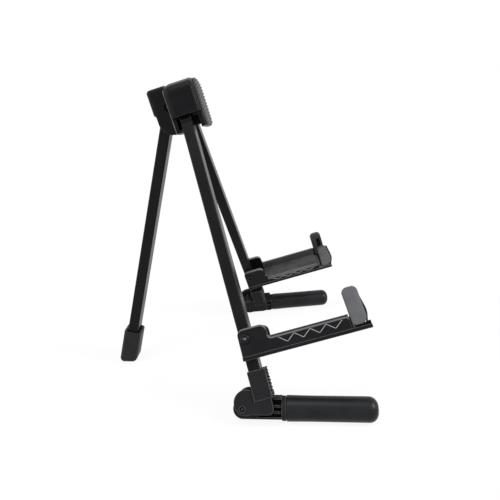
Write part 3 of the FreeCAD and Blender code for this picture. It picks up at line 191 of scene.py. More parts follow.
def edge_group():
    """Mask of a painted highlight along the sharp outer edges: where the normal rounded over a radius leaves the
    surface's own normal, less the corners and gaps where something stands close by."""
    made, start, end = group("painted_edge_highlights", [("Radius", "Float", 0.0006), ("Reach", "Float", 0.25)],
                             [("Edge", "Float"), ("Normal", "Vector")])
    rounded = node(made, "ShaderNodeBevel", {"Radius": start.outputs["Radius"]}, samples=EDGE_SAMPLES)
    flat = node(made, "ShaderNodeNewGeometry")
    along = node(made, "ShaderNodeVectorMath", {0: rounded.outputs[0], 1: flat.outputs["Normal"]},
                 operation="DOT_PRODUCT")
    off = node(made, "ShaderNodeMath", {0: 1.0, 1: along.outputs["Value"]}, operation="SUBTRACT")
    scaled = node(made, "ShaderNodeMath", {0: off.outputs[0], 1: start.outputs["Reach"]}, operation="DIVIDE",
                  use_clamp=True)
    clear = node(made, "ShaderNodeAmbientOcclusion", {"Distance": CLEAR_REACH}, samples=EDGE_SAMPLES)
    outer = node(made, "ShaderNodeMapRange", {0: clear.outputs["AO"], 1: CLEAR_FROM, 2: CLEAR_TO})
    edge = node(made, "ShaderNodeMath", {0: scaled.outputs[0], 1: outer.outputs[0]}, operation="MULTIPLY")
    made.links.new(edge.outputs[0], end.inputs["Edge"])
    made.links.new(rounded.outputs[0], end.inputs["Normal"])
    return made


def grain_group():
    """Skin of a coated or moulded surface: a fine height, and a slow mottle for colour and roughness."""
    made, start, end = group("surface_grain", [("Size", "Float", 0.001), ("Patch", "Float", 0.02)],
                             [("Height", "Float"), ("Mottle", "Float")])
    where = node(made, "ShaderNodeTexCoord").outputs["Object"]
    for socket, label, detail in (("Size", "Height", 3.0), ("Patch", "Mottle", 4.0)):
        scale = node(made, "ShaderNodeMath", {0: 1.0, 1: start.outputs[socket]}, operation="DIVIDE")
        noise = node(made, "ShaderNodeTexNoise", {"Vector": where, "Scale": scale.outputs[0], "Detail": detail})
        made.links.new(noise.outputs[0], end.inputs[label])
    return made


PAINTED_EDGE_HIGHLIGHTS = edge_group()
SURFACE_GRAIN = grain_group()


def finish(name, colour, roughness, specular, grain, patch, depth, edge, radius=0.0006, metallic=0.0,
           spread=0.25, rim=None, shade=None):
    """A moulded, coated or metal finish: mottled colour and roughness, a painted highlight on rounded edges and a
    fine grain.

    Grain, patch, depth and radius are lengths, and spread is the mottle's share of the colour. The edge colour is
    a painted highlight. A rim colour is a painted highlight on surfaces that face upwards at rest, and a shade
    colour is painted onto points marked by the piece itself, as shade on the pads and as a highlight on the
    liner's bead.
    """
    material = bpy.data.materials.new(name)
    material.use_nodes = True
    tree = material.node_tree
    shader = tree.nodes["Principled BSDF"]
    shader.inputs["Specular IOR Level"].default_value = specular
    shader.inputs["Metallic"].default_value = metallic
    skin = node(tree, "ShaderNodeGroup", node_tree=SURFACE_GRAIN)
    skin.inputs["Size"].default_value = grain
    skin.inputs["Patch"].default_value = patch
    edges = node(tree, "ShaderNodeGroup", node_tree=PAINTED_EDGE_HIGHLIGHTS)
    edges.inputs["Radius"].default_value = radius
    dark = [channel * (1 - spread) for channel in colour] + [1.0]
    pale = [channel * (1 + spread) for channel in colour] + [1.0]
    ramp = node(tree, "ShaderNodeValToRGB", {0: skin.outputs["Mottle"]})
    ramp.color_ramp.elements[0].position, ramp.color_ramp.elements[0].color = 0.3, dark
    ramp.color_ramp.elements[1].position, ramp.color_ramp.elements[1].color = 0.7, pale
    painted_colour = node(tree, "ShaderNodeMixRGB", {0: edges.outputs["Edge"], 1: ramp.outputs[0], 2: (*edge, 1.0)})
    if rim:
        facing = node(tree, "ShaderNodeSeparateXYZ", {0: node(tree, "ShaderNodeTexCoord").outputs["Normal"]})
        upward = node(tree, "ShaderNodeMapRange", {0: facing.outputs["Z"], 1: UPWARD_FROM, 2: UPWARD_TO})
        painted_colour = node(tree, "ShaderNodeMixRGB", {0: upward.outputs[0], 1: painted_colour.outputs[0], 2: (*rim, 1.0)})
    if shade:
        mark = node(tree, "ShaderNodeAttribute", attribute_name="shade")
        painted_colour = node(tree, "ShaderNodeMixRGB", {0: mark.outputs["Fac"], 1: painted_colour.outputs[0], 2: (*shade, 1.0)})
    tree.links.new(painted_colour.outputs[0], shader.inputs["Base Color"])
    rough = node(tree, "ShaderNodeMapRange", {0: skin.outputs["Mottle"], 1: 0.25, 2: 0.75,
                                              3: roughness * (1 - ROUGHNESS_SPREAD),
                                              4: roughness * (1 + ROUGHNESS_SPREAD)})
    tree.links.new(rough.outputs[0], shader.inputs["Roughness"])
    bump = node(tree, "ShaderNodeBump", {"Height": skin.outputs["Height"], "Normal": edges.outputs["Normal"],
                                         "Strength": 1.0, "Distance": depth})
    tree.links.new(bump.outputs[0], shader.inputs["Normal"])
    return material


def dress(material, *names):
    """Give CAD nodes a finish in their own material slots."""
    for name in names:
        for slot in nodes[name].material_slots:
            slot.material = material


tube_coat = finish("satin_powder_coat", (0.0040, 0.0040, 0.0044), roughness=0.34, specular=0.12, grain=0.0011,
                   patch=0.03, depth=0.00001, edge=(0.035, 0.035, 0.037))
dress(tube_coat, "rear_leg_tube", *[f"{side}_leg_tube" for side in SIDES])

# Head shells
# Two moulded nylon half shells screwed together from behind, with a satin moulded skin.
# The steel pins that the legs swing on run through them, and four cross-head screws hold them.

# The wide edge radius spreads the painted edge highlight into soft bands along the shells' rounded edges.
shell_nylon = finish("moulded_shell", (0.0036, 0.0038, 0.0044), roughness=0.40, specular=0.10, grain=0.0005,
                     patch=0.02, depth=0.00001, edge=(0.035, 0.036, 0.039), radius=0.0022)
dress(shell_nylon, "head_front_shell", "head_rear_shell", "rear_leg_plug",
      *[f"{side}_leg_top_plug" for side in SIDES])
pin_steel = finish("dark_steel", (0.008, 0.008, 0.0085), roughness=0.28, specular=0.5, grain=0.0004, patch=0.01,
                   depth=0.000005, edge=(0.02, 0.02, 0.021), radius=0.0004, metallic=1.0, spread=0.1)
dress(pin_steel, "rear_leg_pin", *[f"{side}_{pin}" for side in SIDES for pin in ("splay_pin", "foot_pin")])
MERGE = 0.000001


def tubes(*grids):
    """Points and faces of closed tubes: a quad joins each four neighbours of a grid, its columns join round,
    and its first and last rows are capped."""
    faces, count = [], 0
    for grid in grids:
        rows, columns = grid.shape[:2]
        index = count + np.arange(rows * columns).reshape(rows, columns)
        beside = np.roll(index, -1, axis=1)
        faces += np.stack([index[:-1], beside[:-1], beside[1:], index[1:]], axis=-1).reshape(-1, 4).tolist()
        faces += [index[0, ::-1].tolist(), index[-1].tolist()]
        count += rows * columns
    return np.concatenate([grid.reshape(-1, 3) for grid in grids]), faces


def piece(name, shape, material, body, crease=32.0, shade=None):
    """An object from points in metres and faces, riding on a body. Points that meet are merged, and the faces
    are then turned outwards and shaded smooth up to the crease angle. A shade is 0 to 1 for each point."""
    mesh = bpy.data.meshes.new(name)
    mesh.from_pydata(shape[0].tolist(), [], shape[1])
    if shade is not None:
        marks = mesh.attributes.new("shade", "FLOAT", "POINT")
        marks.data.foreach_set("value", shade.ravel().astype(np.float32))
    merged = bmesh.new()
    merged.from_mesh(mesh)
    bmesh.ops.remove_doubles(merged, verts=merged.verts, dist=MERGE)
    bmesh.ops.dissolve_degenerate(merged, edges=merged.edges, dist=MERGE)
    bmesh.ops.recalc_face_normals(merged, faces=merged.faces)
    merged.to_mesh(mesh)
    merged.free()
    mesh.shade_smooth()
    mesh.set_sharp_from_angle(angle=np.radians(crease))
    mesh.materials.append(material)
    item = bpy.data.objects.new(name, mesh)
    bpy.context.scene.collection.objects.link(item)
    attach(item, body)
    return item


def own_axes(ahead, across):
    """Rows of a piece's own axes: ahead, across, and up square to both."""
    ahead, across = np.array(ahead), np.array(across)
    return np.stack([ahead, across, np.cross(ahead, across)])


def placed(points_mm, origin, axes):
    """Points in mm on a piece's own axes, as metres in the stand's frame."""
    return np.array(origin) + points_mm @ axes * MM


AHEAD = np.array(joints["right_leg_splay"]["axis"])
HEAD_AXES = own_axes(AHEAD, (0.0, 1.0, 0.0))
SCREW_SEATS_MM = ((25.6, 24.0), (21.0, -8.0))
SCREW_OUT_MM, SCREW_TIP_MM = 17.5, 10.6
TIP_RADIUS_MM, TIP_TAPER_MM, SHANK_RADIUS_MM = 1.2, 0.6, 1.75
SCREW_HEAD_RADIUS_MM, SCREW_WALL_MM, SCREW_DOME_MM = 3.4, 1.1, 1.3
CROSS_REACH_MM, CROSS_HALF_MM, CROSS_TURN = 1.75, 0.42, 0.3
RECESS_RINGS = ((2.4, 1.0), (1.9, 0.94), (0.7, 0.62))
TINY = 1e-9


def cross_head_screw(seat, out, up):
    """A turned screw with a cross recess: rings of one radius each about its axis, then rings of a cross.

    A ring's radius is a number, or for the cross the further of the distances to the sides of its two arms.
    """
    turn = np.linspace(0, 2 * np.pi, 97)[:-1] + CROSS_TURN
    cosine, sine = np.abs(np.cos(turn)) + TINY, np.abs(np.sin(turn)) + TINY
    flat = np.minimum(CROSS_REACH_MM / cosine, CROSS_HALF_MM / sine)
    tall = np.minimum(CROSS_HALF_MM / cosine, CROSS_REACH_MM / sine)
    cross = np.maximum(flat, tall)
    even = np.ones_like(turn)
    dome = np.linspace(0, 0.5 * np.pi, 8)
    rings = [(SCREW_TIP_MM, TIP_RADIUS_MM * even), (SCREW_TIP_MM + TIP_TAPER_MM, SHANK_RADIUS_MM * even),
             (seat, SHANK_RADIUS_MM * even), (seat, SCREW_HEAD_RADIUS_MM * even)]
    rings += [(seat + SCREW_WALL_MM + SCREW_DOME_MM * np.sin(step),
               (SCREW_HEAD_RADIUS_MM - SCREW_DOME_MM * (1 - np.cos(step))) * even) for step in dome]
    rings += [(seat + above, size * cross) for above, size in RECESS_RINGS]
    depth = np.array([ring[0] for ring in rings])[:, None]
    radius = np.stack([ring[1] for ring in rings])
    points = np.stack([-depth + 0 * radius, out + radius * np.cos(turn), up + radius * np.sin(turn)], axis=-1)
    return placed(points, pivot, HEAD_AXES)


screw_steel = finish("blackened_screw", (0.05, 0.05, 0.052), roughness=0.35, specular=0.5, grain=0.0003,
                     patch=0.004, depth=0.000004, edge=(0.25, 0.25, 0.255), radius=0.0003, metallic=1.0,
                     spread=0.1)
screw_rings = [cross_head_screw(seat, sign * SCREW_OUT_MM, up)
               for seat, up in SCREW_SEATS_MM for sign in SIDES.values()]
screws = piece("cross_head_screws", tubes(*screw_rings), screw_steel, "head")
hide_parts("head_screws")
SEAM_MM, SEAM_BEAD_MM = -13.2, 0.5
SEAM_FOOT_MM, SEAM_RISE_MM, SEAM_BEND_MM = (29.9, -17.0), (1.3, 37.5), (6.0, 5.5)


def seam_bead(sign):
    """A bead along the hood's seam lip on one flank, pale as a painted highlight of the lip: a round carried up a
    nearly straight path, which turns inwards over a quarter ellipse at its upper end."""
    rise, turn = np.linspace(0, 1, 40)[:-1], np.linspace(0, 0.5 * np.pi, 12)
    (foot_out, foot_up), (lean, height), (bend_out, bend_up) = SEAM_FOOT_MM, SEAM_RISE_MM, SEAM_BEND_MM
    out = np.concatenate([foot_out + lean * rise, foot_out + lean - bend_out * (1 - np.cos(turn))])
    up = np.concatenate([foot_up + height * rise, foot_up + height + bend_up * np.sin(turn)])
    run = np.stack([np.gradient(out), np.gradient(up)], axis=1)
    run /= np.linalg.norm(run, axis=1)[:, None]
    around = np.linspace(0, 2 * np.pi, 13)[:-1]
    ahead, aside = SEAM_BEAD_MM * np.cos(around), SEAM_BEAD_MM * np.sin(around)
    rings = np.stack([SEAM_MM + ahead + 0 * out[:, None], sign * (out[:, None] + run[:, 1:] * aside),
                      up[:, None] - run[:, :1] * aside], axis=-1)
    return placed(rings, pivot, HEAD_AXES)


# The seam bead's pale colour is a painted highlight along the seam lip.
seam_highlight_paint = finish("painted_seam_highlight", (0.12, 0.12, 0.125), roughness=0.40, specular=0.3, grain=0.0004, patch=0.004,
                     depth=0.000006, edge=(0.16, 0.16, 0.165))
piece("painted_highlight_seam_beads", tubes(*[seam_bead(sign) for sign in SIDES.values()]), seam_highlight_paint, "head")

# Leaning pad
# A grey rubber pad stuck to the head's front, arched like the roof and rounded along its edge.
# Slanted ribs are moulded across it and run out over the edge, to grip the back of the instrument.

# The shade colour is painted shade in the ribs' valleys and on the pad's rounded side.
pad_rubber = finish("grey_rubber", (0.072, 0.074, 0.078), roughness=0.58, specular=0.20, grain=0.0004,
                    patch=0.012, depth=0.00001, edge=(0.12, 0.122, 0.127), spread=0.10,
                    shade=(0.012, 0.012, 0.013))
PAD_BACK_MM, PAD_FRONT_MM = 17.5, 20.8
PAD_HALF_MM, PAD_LOW_MM = 30.0, -17.5
PAD_ARCH_RADIUS_MM, PAD_ARCH_CENTRE_MM = 110.0, -78.5
PAD_CORNER_MM, PAD_EDGE_MM = 9.0, 2.8
PAD_BORDER_MM = 0.6
PAD_COLUMNS, PAD_ROWS = 151, 221
RIB_PITCH_MM, RIB_RISE_MM, RIB_SLANT = 3.4, 1.0, np.tan(np.radians(11.0))
RIB_FLANK, RIB_VALLEY = (0.15, 0.85), (0.45, 0.95)
SIDE_SHADE, SIDE_REACH_MM = 0.8, 0.7


def smooth_step(low, high, value):
    """0 below low, 1 above high and an S-shaped rise between them."""
    share = np.clip((value - low) / (high - low), 0, 1)
    return share * share * (3 - 2 * share)


def ribbed_pad():
    """A grid over the pad's front, its height lowered near the outline by a quarter round and cut by grooves.

    The grooves go in along the surface's own normal, so that the ribs between them run over the rounded edge.
    Columns run across, and rows up between the lower and the arched upper edge, both drawn in at the corners.
    """
    lean = 0.5 * np.pi * np.linspace(-1, 1, PAD_COLUMNS)
    out = PAD_HALF_MM * np.sin(lean)
    past = np.clip(np.abs(out) - (PAD_HALF_MM - PAD_CORNER_MM), 0, PAD_CORNER_MM)
    corner = PAD_CORNER_MM - np.sqrt(PAD_CORNER_MM ** 2 - past ** 2)
    arch = PAD_ARCH_CENTRE_MM + np.sqrt(PAD_ARCH_RADIUS_MM ** 2 - out ** 2)
    share = 0.5 + 0.5 * np.sin(0.5 * np.pi * np.linspace(-1, 1, PAD_ROWS))[:, None]
    low, high = PAD_LOW_MM + corner, arch - corner
    up = low + (high - low) * share
    out = np.broadcast_to(out, up.shape)
    middle, half = (PAD_LOW_MM + arch) / 2, (arch - PAD_LOW_MM) / 2
    side = np.abs(out) - (PAD_HALF_MM - PAD_CORNER_MM)
    above = np.abs(up - middle) - (half - PAD_CORNER_MM)
    inset = PAD_CORNER_MM - np.hypot(np.maximum(side, 0), np.maximum(above, 0)) - np.minimum(
        np.maximum(side, above), 0)
    short = np.clip(PAD_EDGE_MM - inset, 0, PAD_EDGE_MM)
    fall = PAD_EDGE_MM - np.sqrt(PAD_EDGE_MM ** 2 - short ** 2)
    ridge = np.abs(((up - RIB_SLANT * out) / RIB_PITCH_MM) % 1 - 0.5) * 2
    field = smooth_step(0, PAD_BORDER_MM, inset)
    depth = RIB_RISE_MM * field * smooth_step(*RIB_FLANK, ridge)
    turn = np.arcsin(short / PAD_EDGE_MM)
    ahead = PAD_FRONT_MM - fall - depth * np.cos(turn)
    out = out - np.sign(out) * depth * np.sin(turn) * smooth_step(-1, 1, side - above)
    front = np.pad(np.stack([ahead, out, up], axis=-1), ((1, 1), (1, 1), (0, 0)), mode="edge")
    front[[0, -1], :, 0] = PAD_BACK_MM
    front[:, [0, -1], 0] = PAD_BACK_MM
    # Painted shade in the valleys and on the side wall.
    valley_shade = field * smooth_step(*RIB_VALLEY, ridge)
    side_wall_shade = SIDE_SHADE * smooth_step(SIDE_REACH_MM, 0, inset)
    return placed(front, pivot, HEAD_AXES), np.pad(np.maximum(valley_shade, side_wall_shade), 1, mode="edge")


def backed(grid):
    """Points and faces of an open grid whose border is closed behind by one face."""
    rows, columns = grid.shape[:2]
    index = np.arange(rows * columns).reshape(rows, columns)
    faces = np.stack([index[:-1, :-1], index[:-1, 1:], index[1:, 1:], index[1:, :-1]], axis=-1).reshape(-1, 4)
    border = np.concatenate([index[0, :-1], index[:-1, -1], index[-1, :0:-1], index[:0:-1, 0]])
    return grid.reshape(-1, 3), faces.tolist() + [border[::-1].tolist()]


pad_grid, pad_shade = ribbed_pad()
leaning_pad = piece("ribbed_leaning_pad", backed(pad_grid), pad_rubber, "head", shade=pad_shade)
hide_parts("head_pad")

# Knuckles and foot bars
# Glass-filled nylon mouldings with a matt skin: knuckles pressed over the tubes' lower ends, and the
# hollow-sided bars of the feet that swing in them. A web closes the inner ends of each knuckle's ladder.

moulded = finish("moulded_nylon", (0.0110, 0.0113, 0.0123), roughness=0.75, specular=0.12, grain=0.0006,
                 patch=0.02, depth=0.000015, edge=(0.20, 0.20, 0.205), radius=0.0008)
dress(moulded, *[f"{side}_{name}" for side in SIDES for name in ("knuckle", "foot_bar")])
ARC_STEP = np.radians(9)
WEB_FRONT_MM, WEB_BACK_MM, WEB_TOP_MM, WEB_LOW_MM = 8.9, 6.5, -261.9, -283.0
WEB_ACROSS_MM, WEB_ROUND_MM = (12.6, 14.1), 0.4


def outline(corners):
    """Closed outline through corners given counter-clockwise as two places and a radius, with an arc at each.

    Gives the points, and at each the vector that an even inset follows: the outward normal on an arc, and at a
    sharp corner the sum of the two edges' normals, lengthened so that both edges move alike.
    """
    spots = np.array([corner[:2] for corner in corners], float)
    runs = np.roll(spots, -1, axis=0) - spots
    runs /= np.linalg.norm(runs, axis=1)[:, None]
    normals = np.stack([runs[:, 1], -runs[:, 0]], axis=1)
    points, vectors = [], []
    for spot, before, after, corner in zip(spots, np.roll(normals, 1, axis=0), normals, corners):
        mitre = (before + after) / (1 + before @ after)
        bend = np.arctan2(before[0] * after[1] - before[1] * after[0], before @ after)
        steps = np.linspace(0, bend, int(abs(bend) / ARC_STEP) + 2)
        start = np.arctan2(before[1], before[0])
        around = np.stack([np.cos(start + steps), np.sin(start + steps)], axis=1)
        reach = np.sign(bend) * corner[2]
        points.append(spot - reach * mitre + reach * around if corner[2] else spot[None])
        vectors.append(around if corner[2] else mitre[None])
    return np.concatenate(points), np.concatenate(vectors)


def carried(corners, places):
    """Rings of one outline at several places across, for a plain plate or lug."""
    points, _ = outline(corners)
    across = np.broadcast_to(np.array(places)[:, None], (len(places), len(points)))
    return np.stack([points[:, 0] + 0 * across, across, points[:, 1] + 0 * across], axis=-1)


for side, sign in SIDES.items():
    leg_axes = own_axes(AHEAD, -np.array(joints[f"{side}_arm_fold"]["axis"]))
    web = carried([(WEB_BACK_MM, WEB_LOW_MM, WEB_ROUND_MM), (WEB_FRONT_MM, WEB_LOW_MM, WEB_ROUND_MM),
                   (WEB_FRONT_MM, WEB_TOP_MM, WEB_ROUND_MM), (WEB_BACK_MM, WEB_TOP_MM, WEB_ROUND_MM)],
                  [-sign * out for out in WEB_ACROSS_MM])
    piece(f"{side}_ladder_web", tubes(placed(web, joints[f"{side}_leg_splay"]["pos_m"], leg_axes)), moulded,
          f"{side}_leg")

# Foot sleeves
# Soft black rubber sleeves pushed over the foot bars' spigots, with a round nose and a fine skin.
# Each is moulded over a mandrel and is a little fuller at its mouth.

sleeve_rubber = finish("sleeve_rubber", (0.0070, 0.0074, 0.0086), roughness=0.38, specular=0.19, grain=0.0005,
                       patch=0.02, depth=0.00001, edge=(0.03, 0.03, 0.032))
SLEEVE_START_MM, SLEEVE_END_MM = 38.1, 117.4
SLEEVE_RADIUS_MM, SLEEVE_NOSE_MM, SLEEVE_MOUTH_ROUND_MM = 11.3, 8.0, 0.8
SLEEVE_WAIST_MM, SLEEVE_WAIST_END_MM = 0.25, 24.0
BORE_RADIUS_MM, BORE_END_MM, BORE_CHAMFER_MM = 7.45, 101.8, 0.5


def turned(profile, sides=96):
    """Rings of a profile of places along an axis and radii, turned once about that axis."""
    turn = np.linspace(0, 2 * np.pi, sides + 1)[:-1]
    along, radius = profile.T[:, :, None]
    return np.stack([along + 0 * turn, radius * np.cos(turn), radius * np.sin(turn)], axis=-1)


def sleeve_profile():
    """The bore from its blind end, the rounded mouth, the outside drawn in past it, and the round nose."""
    quarter = np.linspace(0, 0.5 * np.pi, 25)
    mouth, nose = SLEEVE_MOUTH_ROUND_MM, SLEEVE_NOSE_MM
    along = np.linspace(SLEEVE_START_MM + mouth, SLEEVE_END_MM - nose, 60)
    waist = SLEEVE_WAIST_MM * smooth_step(0, SLEEVE_WAIST_END_MM, along - SLEEVE_START_MM)
    radius = SLEEVE_RADIUS_MM - SLEEVE_WAIST_MM
    parts = [[(BORE_END_MM, 0.0), (BORE_END_MM, BORE_RADIUS_MM),
              (SLEEVE_START_MM + BORE_CHAMFER_MM, BORE_RADIUS_MM),
              (SLEEVE_START_MM, BORE_RADIUS_MM + BORE_CHAMFER_MM)],
             np.stack([SLEEVE_START_MM + mouth * (1 - np.sin(quarter)),
                       SLEEVE_RADIUS_MM - mouth * (1 - np.cos(quarter))], axis=1)[::-1],
             np.stack([along, SLEEVE_RADIUS_MM - waist], axis=1)[1:],
             np.stack([SLEEVE_END_MM - nose * (1 - np.sin(quarter)),
                       radius - nose * (1 - np.cos(quarter))], axis=1)[1:],
             [(SLEEVE_END_MM, 0.0)]]
    return np.concatenate(parts)


for side in SIDES:
    hinge = joints[f"{side}_foot_fold"]
    level = np.cross(hinge["axis"], (0.0, 0.0, 1.0))
    foot_axes = own_axes(level / np.linalg.norm(level), hinge["axis"])
    rings = placed(turned(sleeve_profile()), hinge["pos_m"], foot_axes)
    sleeve = piece(f"{side}_rubber_sleeve", tubes(rings), sleeve_rubber, f"{side}_foot")
    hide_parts(f"{side}_foot_sleeve")

# Cradle arms
# Moulded nylon channels with two ears that straddle the leg, a high outer wall and a low inner wall.
# Both walls carry a plain zigzag of thin raised ribs, moulded on and pale. A hollow rivet holds each arm.

# The rim colour is a painted highlight on the arm's upward-facing rims and ears.
arm_nylon = finish("moulded_arm", (0.0050, 0.0052, 0.0060), roughness=0.40, specular=0.11, grain=0.0006,
                   patch=0.02, depth=0.000012, edge=(0.20, 0.20, 0.205), radius=0.0007,
                   rim=(0.115, 0.115, 0.118))
dress(arm_nylon, *[f"{side}_arm_channel" for side in SIDES])
pale_wall_rib = finish("pale_wall_rib", (0.26, 0.26, 0.265), roughness=0.45, specular=0.35, grain=0.0004, patch=0.006,
                    depth=0.000008, edge=(0.34, 0.34, 0.345), radius=0.0002, spread=0.18)
rivet_steel = finish("arm_rivet_steel", (0.014, 0.014, 0.015), roughness=0.25, specular=0.5, grain=0.0004,
                     patch=0.01, depth=0.000005, edge=(0.12, 0.12, 0.125), radius=0.0006, metallic=1.0,
                     spread=0.1)
dress(rivet_steel, *[f"{side}_arm_rivet" for side in SIDES])
ARM_SAG = np.radians(0.9)
WALL_FACE_MM = 16.15
BAR_HALF_WIDTH_MM, BAR_RISE_MM, BAR_SINK_MM = 0.34, 0.35, 0.15
BAR_SPACING_MM, BAR_COUNT, BAR_START_MM, BAR_END_SHARE = 7.2, 8, 29.0, 0.1
OUTER_BARS_MM, INNER_BARS_MM = (-5.9, -11.6), (-11.2, -14.0)


def arm_frame(side):
    """Rivet's place and the arm's own axes: its leg's axes, turned down by the sag about the rivet."""
    hinge = joints[f"{side}_arm_fold"]
    across = -np.array(hinge["axis"])
    leg = own_axes(AHEAD, across)
    return hinge["pos_m"], own_axes(np.cos(ARM_SAG) * leg[0] - np.sin(ARM_SAG) * leg[2], across)


def wall_bar(start, end, out):
    """A raised bar on a wall: an oval carried from start to end, drawn in like a half circle at both ends."""
    along = np.linspace(-1, 1, 33)
    tip = np.clip((np.abs(along) - (1 - BAR_END_SHARE)) / BAR_END_SHARE, 0, 1)
    size = np.sqrt(np.clip(1 - tip ** 2, 0, 1))[:, None]
    turn = np.linspace(0, 2 * np.pi, 17)[:-1]
    start, end = np.array(start), np.array(end)
    run = (end - start) / np.linalg.norm(end - start)
    middle = start + (end - start) * (along[:, None] + 1) / 2
    across = BAR_HALF_WIDTH_MM * size * np.cos(turn)
    lift = BAR_RISE_MM * size * np.sin(turn)
    face = np.sign(out) * (np.abs(out) + np.maximum(lift, -BAR_SINK_MM))
    return np.stack([middle[:, :1] - run[1] * across, face, middle[:, 1:] + run[0] * across], axis=-1)


def zigzag(out, top, low):
    """Bars from top to low and back again along one wall."""
    ends = [(BAR_START_MM + BAR_SPACING_MM * step, low if step % 2 else top) for step in range(BAR_COUNT + 1)]
    return [wall_bar(start, end, out) for start, end in zip(ends, ends[1:])]


for side, sign in SIDES.items():
    rivet, arm_axes = arm_frame(side)
    for wall, out, (top, low) in (("outer", sign, OUTER_BARS_MM), ("inner", -sign, INNER_BARS_MM)):
        bars = [placed(bar, rivet, arm_axes) for bar in zigzag(out * WALL_FACE_MM, top, low)]
        piece(f"{side}_{wall}_wall_ribs", tubes(*bars), pale_wall_rib, f"{side}_arm")

# Cradle liners
# A grey-black rubber trough pressed into each channel, extruded in one section and cut to length.
# A bead and a groove run along its outer rim, and a grid of small dimples is pressed into its inside.

# The shade colour is a painted highlight on the outer bead and the inner rim's top.
liner_rubber = finish("liner_rubber", (0.055, 0.0555, 0.057), roughness=0.60, specular=0.22, grain=0.0005,
                      patch=0.015, depth=0.00001, edge=(0.10, 0.10, 0.104), shade=(0.13, 0.13, 0.133))
LINER_START_MM, LINER_END_MM = 20.55, 92.6
LINER_INSIDE_MM, LINER_FLOOR_MM, LINER_INNER_RIM_MM = 11.7, -13.5, -9.35
LINER_SECTION_MM = [(-13.6, -15.4, 0), (13.6, -15.4, 0), (13.6, -4.0, 0), (12.9, -4.0, 0), (12.9, -3.2, 0),
                    (13.6, -3.2, 0.25), (13.6, -2.3, 0.4), (LINER_INSIDE_MM, -2.3, 0.4),
                    (LINER_INSIDE_MM, LINER_FLOOR_MM, 1.0), (-LINER_INSIDE_MM, LINER_FLOOR_MM, 1.0),
                    (-LINER_INSIDE_MM, LINER_INNER_RIM_MM, 0.4), (-13.6, LINER_INNER_RIM_MM, 0.4)]
OUTER_BEAD_MM, INNER_BEAD_MM = (-2.9, -2.4), (-9.9, -9.5)
LINER_SPACING_MM = 0.35
DIMPLE_ALONG_MM, DIMPLE_ROUND_MM = 6.4, 6.0
DIMPLE_RADIUS_MM, DIMPLE_DEPTH_MM = 1.0, 0.7


def filled(points, vectors, spacing):
    """The same outline with more points, at most a spacing apart, and each point's distance along it."""
    loop, turns = np.vstack([points, points[:1]]), np.vstack([vectors, vectors[:1]])
    along = np.concatenate([[0], np.cumsum(np.linalg.norm(np.diff(loop, axis=0), axis=1))])
    where = np.union1d(along, np.arange(0, along[-1], spacing))[:-1]
    spread = [np.stack([np.interp(where, along, array[:, axis]) for axis in (0, 1)], axis=1)
              for array in (loop, turns)]
    return *spread, where


def dimpled_liner(sign):
    """The liner's section carried along the arm, its inside pressed in by a smooth hollow at each grid point.

    Gives the rings, and at each point the share of the painted highlight on the bead and the inner rim's top. The
    low inner wall has no dimples near its rim.
    """
    section, normal, around = filled(*outline(LINER_SECTION_MM), LINER_SPACING_MM)
    along = np.append(np.arange(LINER_START_MM, LINER_END_MM, LINER_SPACING_MM), LINER_END_MM)[:, None]
    across, height = section.T
    inside = (np.abs(across) < LINER_INSIDE_MM + 0.05) & (height > LINER_FLOOR_MM - 0.1)
    inside &= (across > 0) | (height < LINER_INNER_RIM_MM - 1.5)
    middle = around[np.argmin(np.abs(across) + 100 * ~inside)]
    row = (along - LINER_START_MM) % DIMPLE_ALONG_MM - DIMPLE_ALONG_MM / 2
    column = (around - middle) % DIMPLE_ROUND_MM - DIMPLE_ROUND_MM / 2
    hollow = DIMPLE_DEPTH_MM * inside * smooth_step(0, 1, 1 - np.hypot(row, column) / DIMPLE_RADIUS_MM)
    out = across - hollow * normal[:, 0]
    up = height - hollow * normal[:, 1]
    # Painted highlight on the bead and on the inner rim's top.
    bead = np.where(across > 0, smooth_step(*OUTER_BEAD_MM, height), smooth_step(*INNER_BEAD_MM, height))
    return np.stack([along + 0 * out, sign * out, up], axis=-1), bead + 0 * along


for side, sign in SIDES.items():
    rivet, arm_axes = arm_frame(side)
    rings, bead = dimpled_liner(sign)
    liner = piece(f"{side}_dimpled_liner", tubes(placed(rings, rivet, arm_axes)), liner_rubber, f"{side}_arm",
                  shade=bead)
    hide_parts(f"{side}_arm_liner")

# Stops
# A black nylon yoke snapped onto each arm's front end, with a grey rubber pad pushed over each of its fingers.
# The pads lean back a little, and the slot for the finger shows in their inner face. A lug fills the wall's end.

yoke_nylon = finish("moulded_yoke", (0.0030, 0.0030, 0.0033), roughness=0.42, specular=0.10, grain=0.0006,
                    patch=0.02, depth=0.00001, edge=(0.02, 0.02, 0.021))
dress(yoke_nylon, *[f"{side}_stop_yoke" for side in SIDES])
# The shade colour is painted shade on each pad's rounded outer edge and sides.
stop_rubber = finish("stop_rubber", (0.085, 0.087, 0.093), roughness=0.52, specular=0.25, grain=0.0004,
                     patch=0.012, depth=0.00001, edge=(0.11, 0.112, 0.118), spread=0.10,
                     shade=(0.035, 0.036, 0.039))
STOP_FOOT_MM, STOP_LEAN = -13.6, np.tan(np.radians(3.0))
STOP_INSIDE_MM, STOP_OUTSIDE_MM, SLOT_FLOOR_MM = 11.5, 16.6, 14.05
STOP_ROUND_MM, TOE_ROUND_MM, HEEL_ROUND_MM, STOP_EDGE_MM, STOP_INNER_EDGE_MM = 5.0, 6.5, 3.4, 1.4, 0.5
SLOT_MM, SLOT_TOP_MM = (100.95, 105.45), 12.05
OUTER_STOP_MM, INNER_STOP_MM = (94.2, 108.2, 20.4), (97.6, 108.9, 17.4)
BELLY_AHEAD_MM, BELLY_UP_MM, BELLY_ROUND_MM = 3.2, -3.1, 20.0
STOP_CROWN_MM, CROWN_SHARES = 0.6, (0.92, 0.8, 0.6, 0.4, 0.2, 0.05)
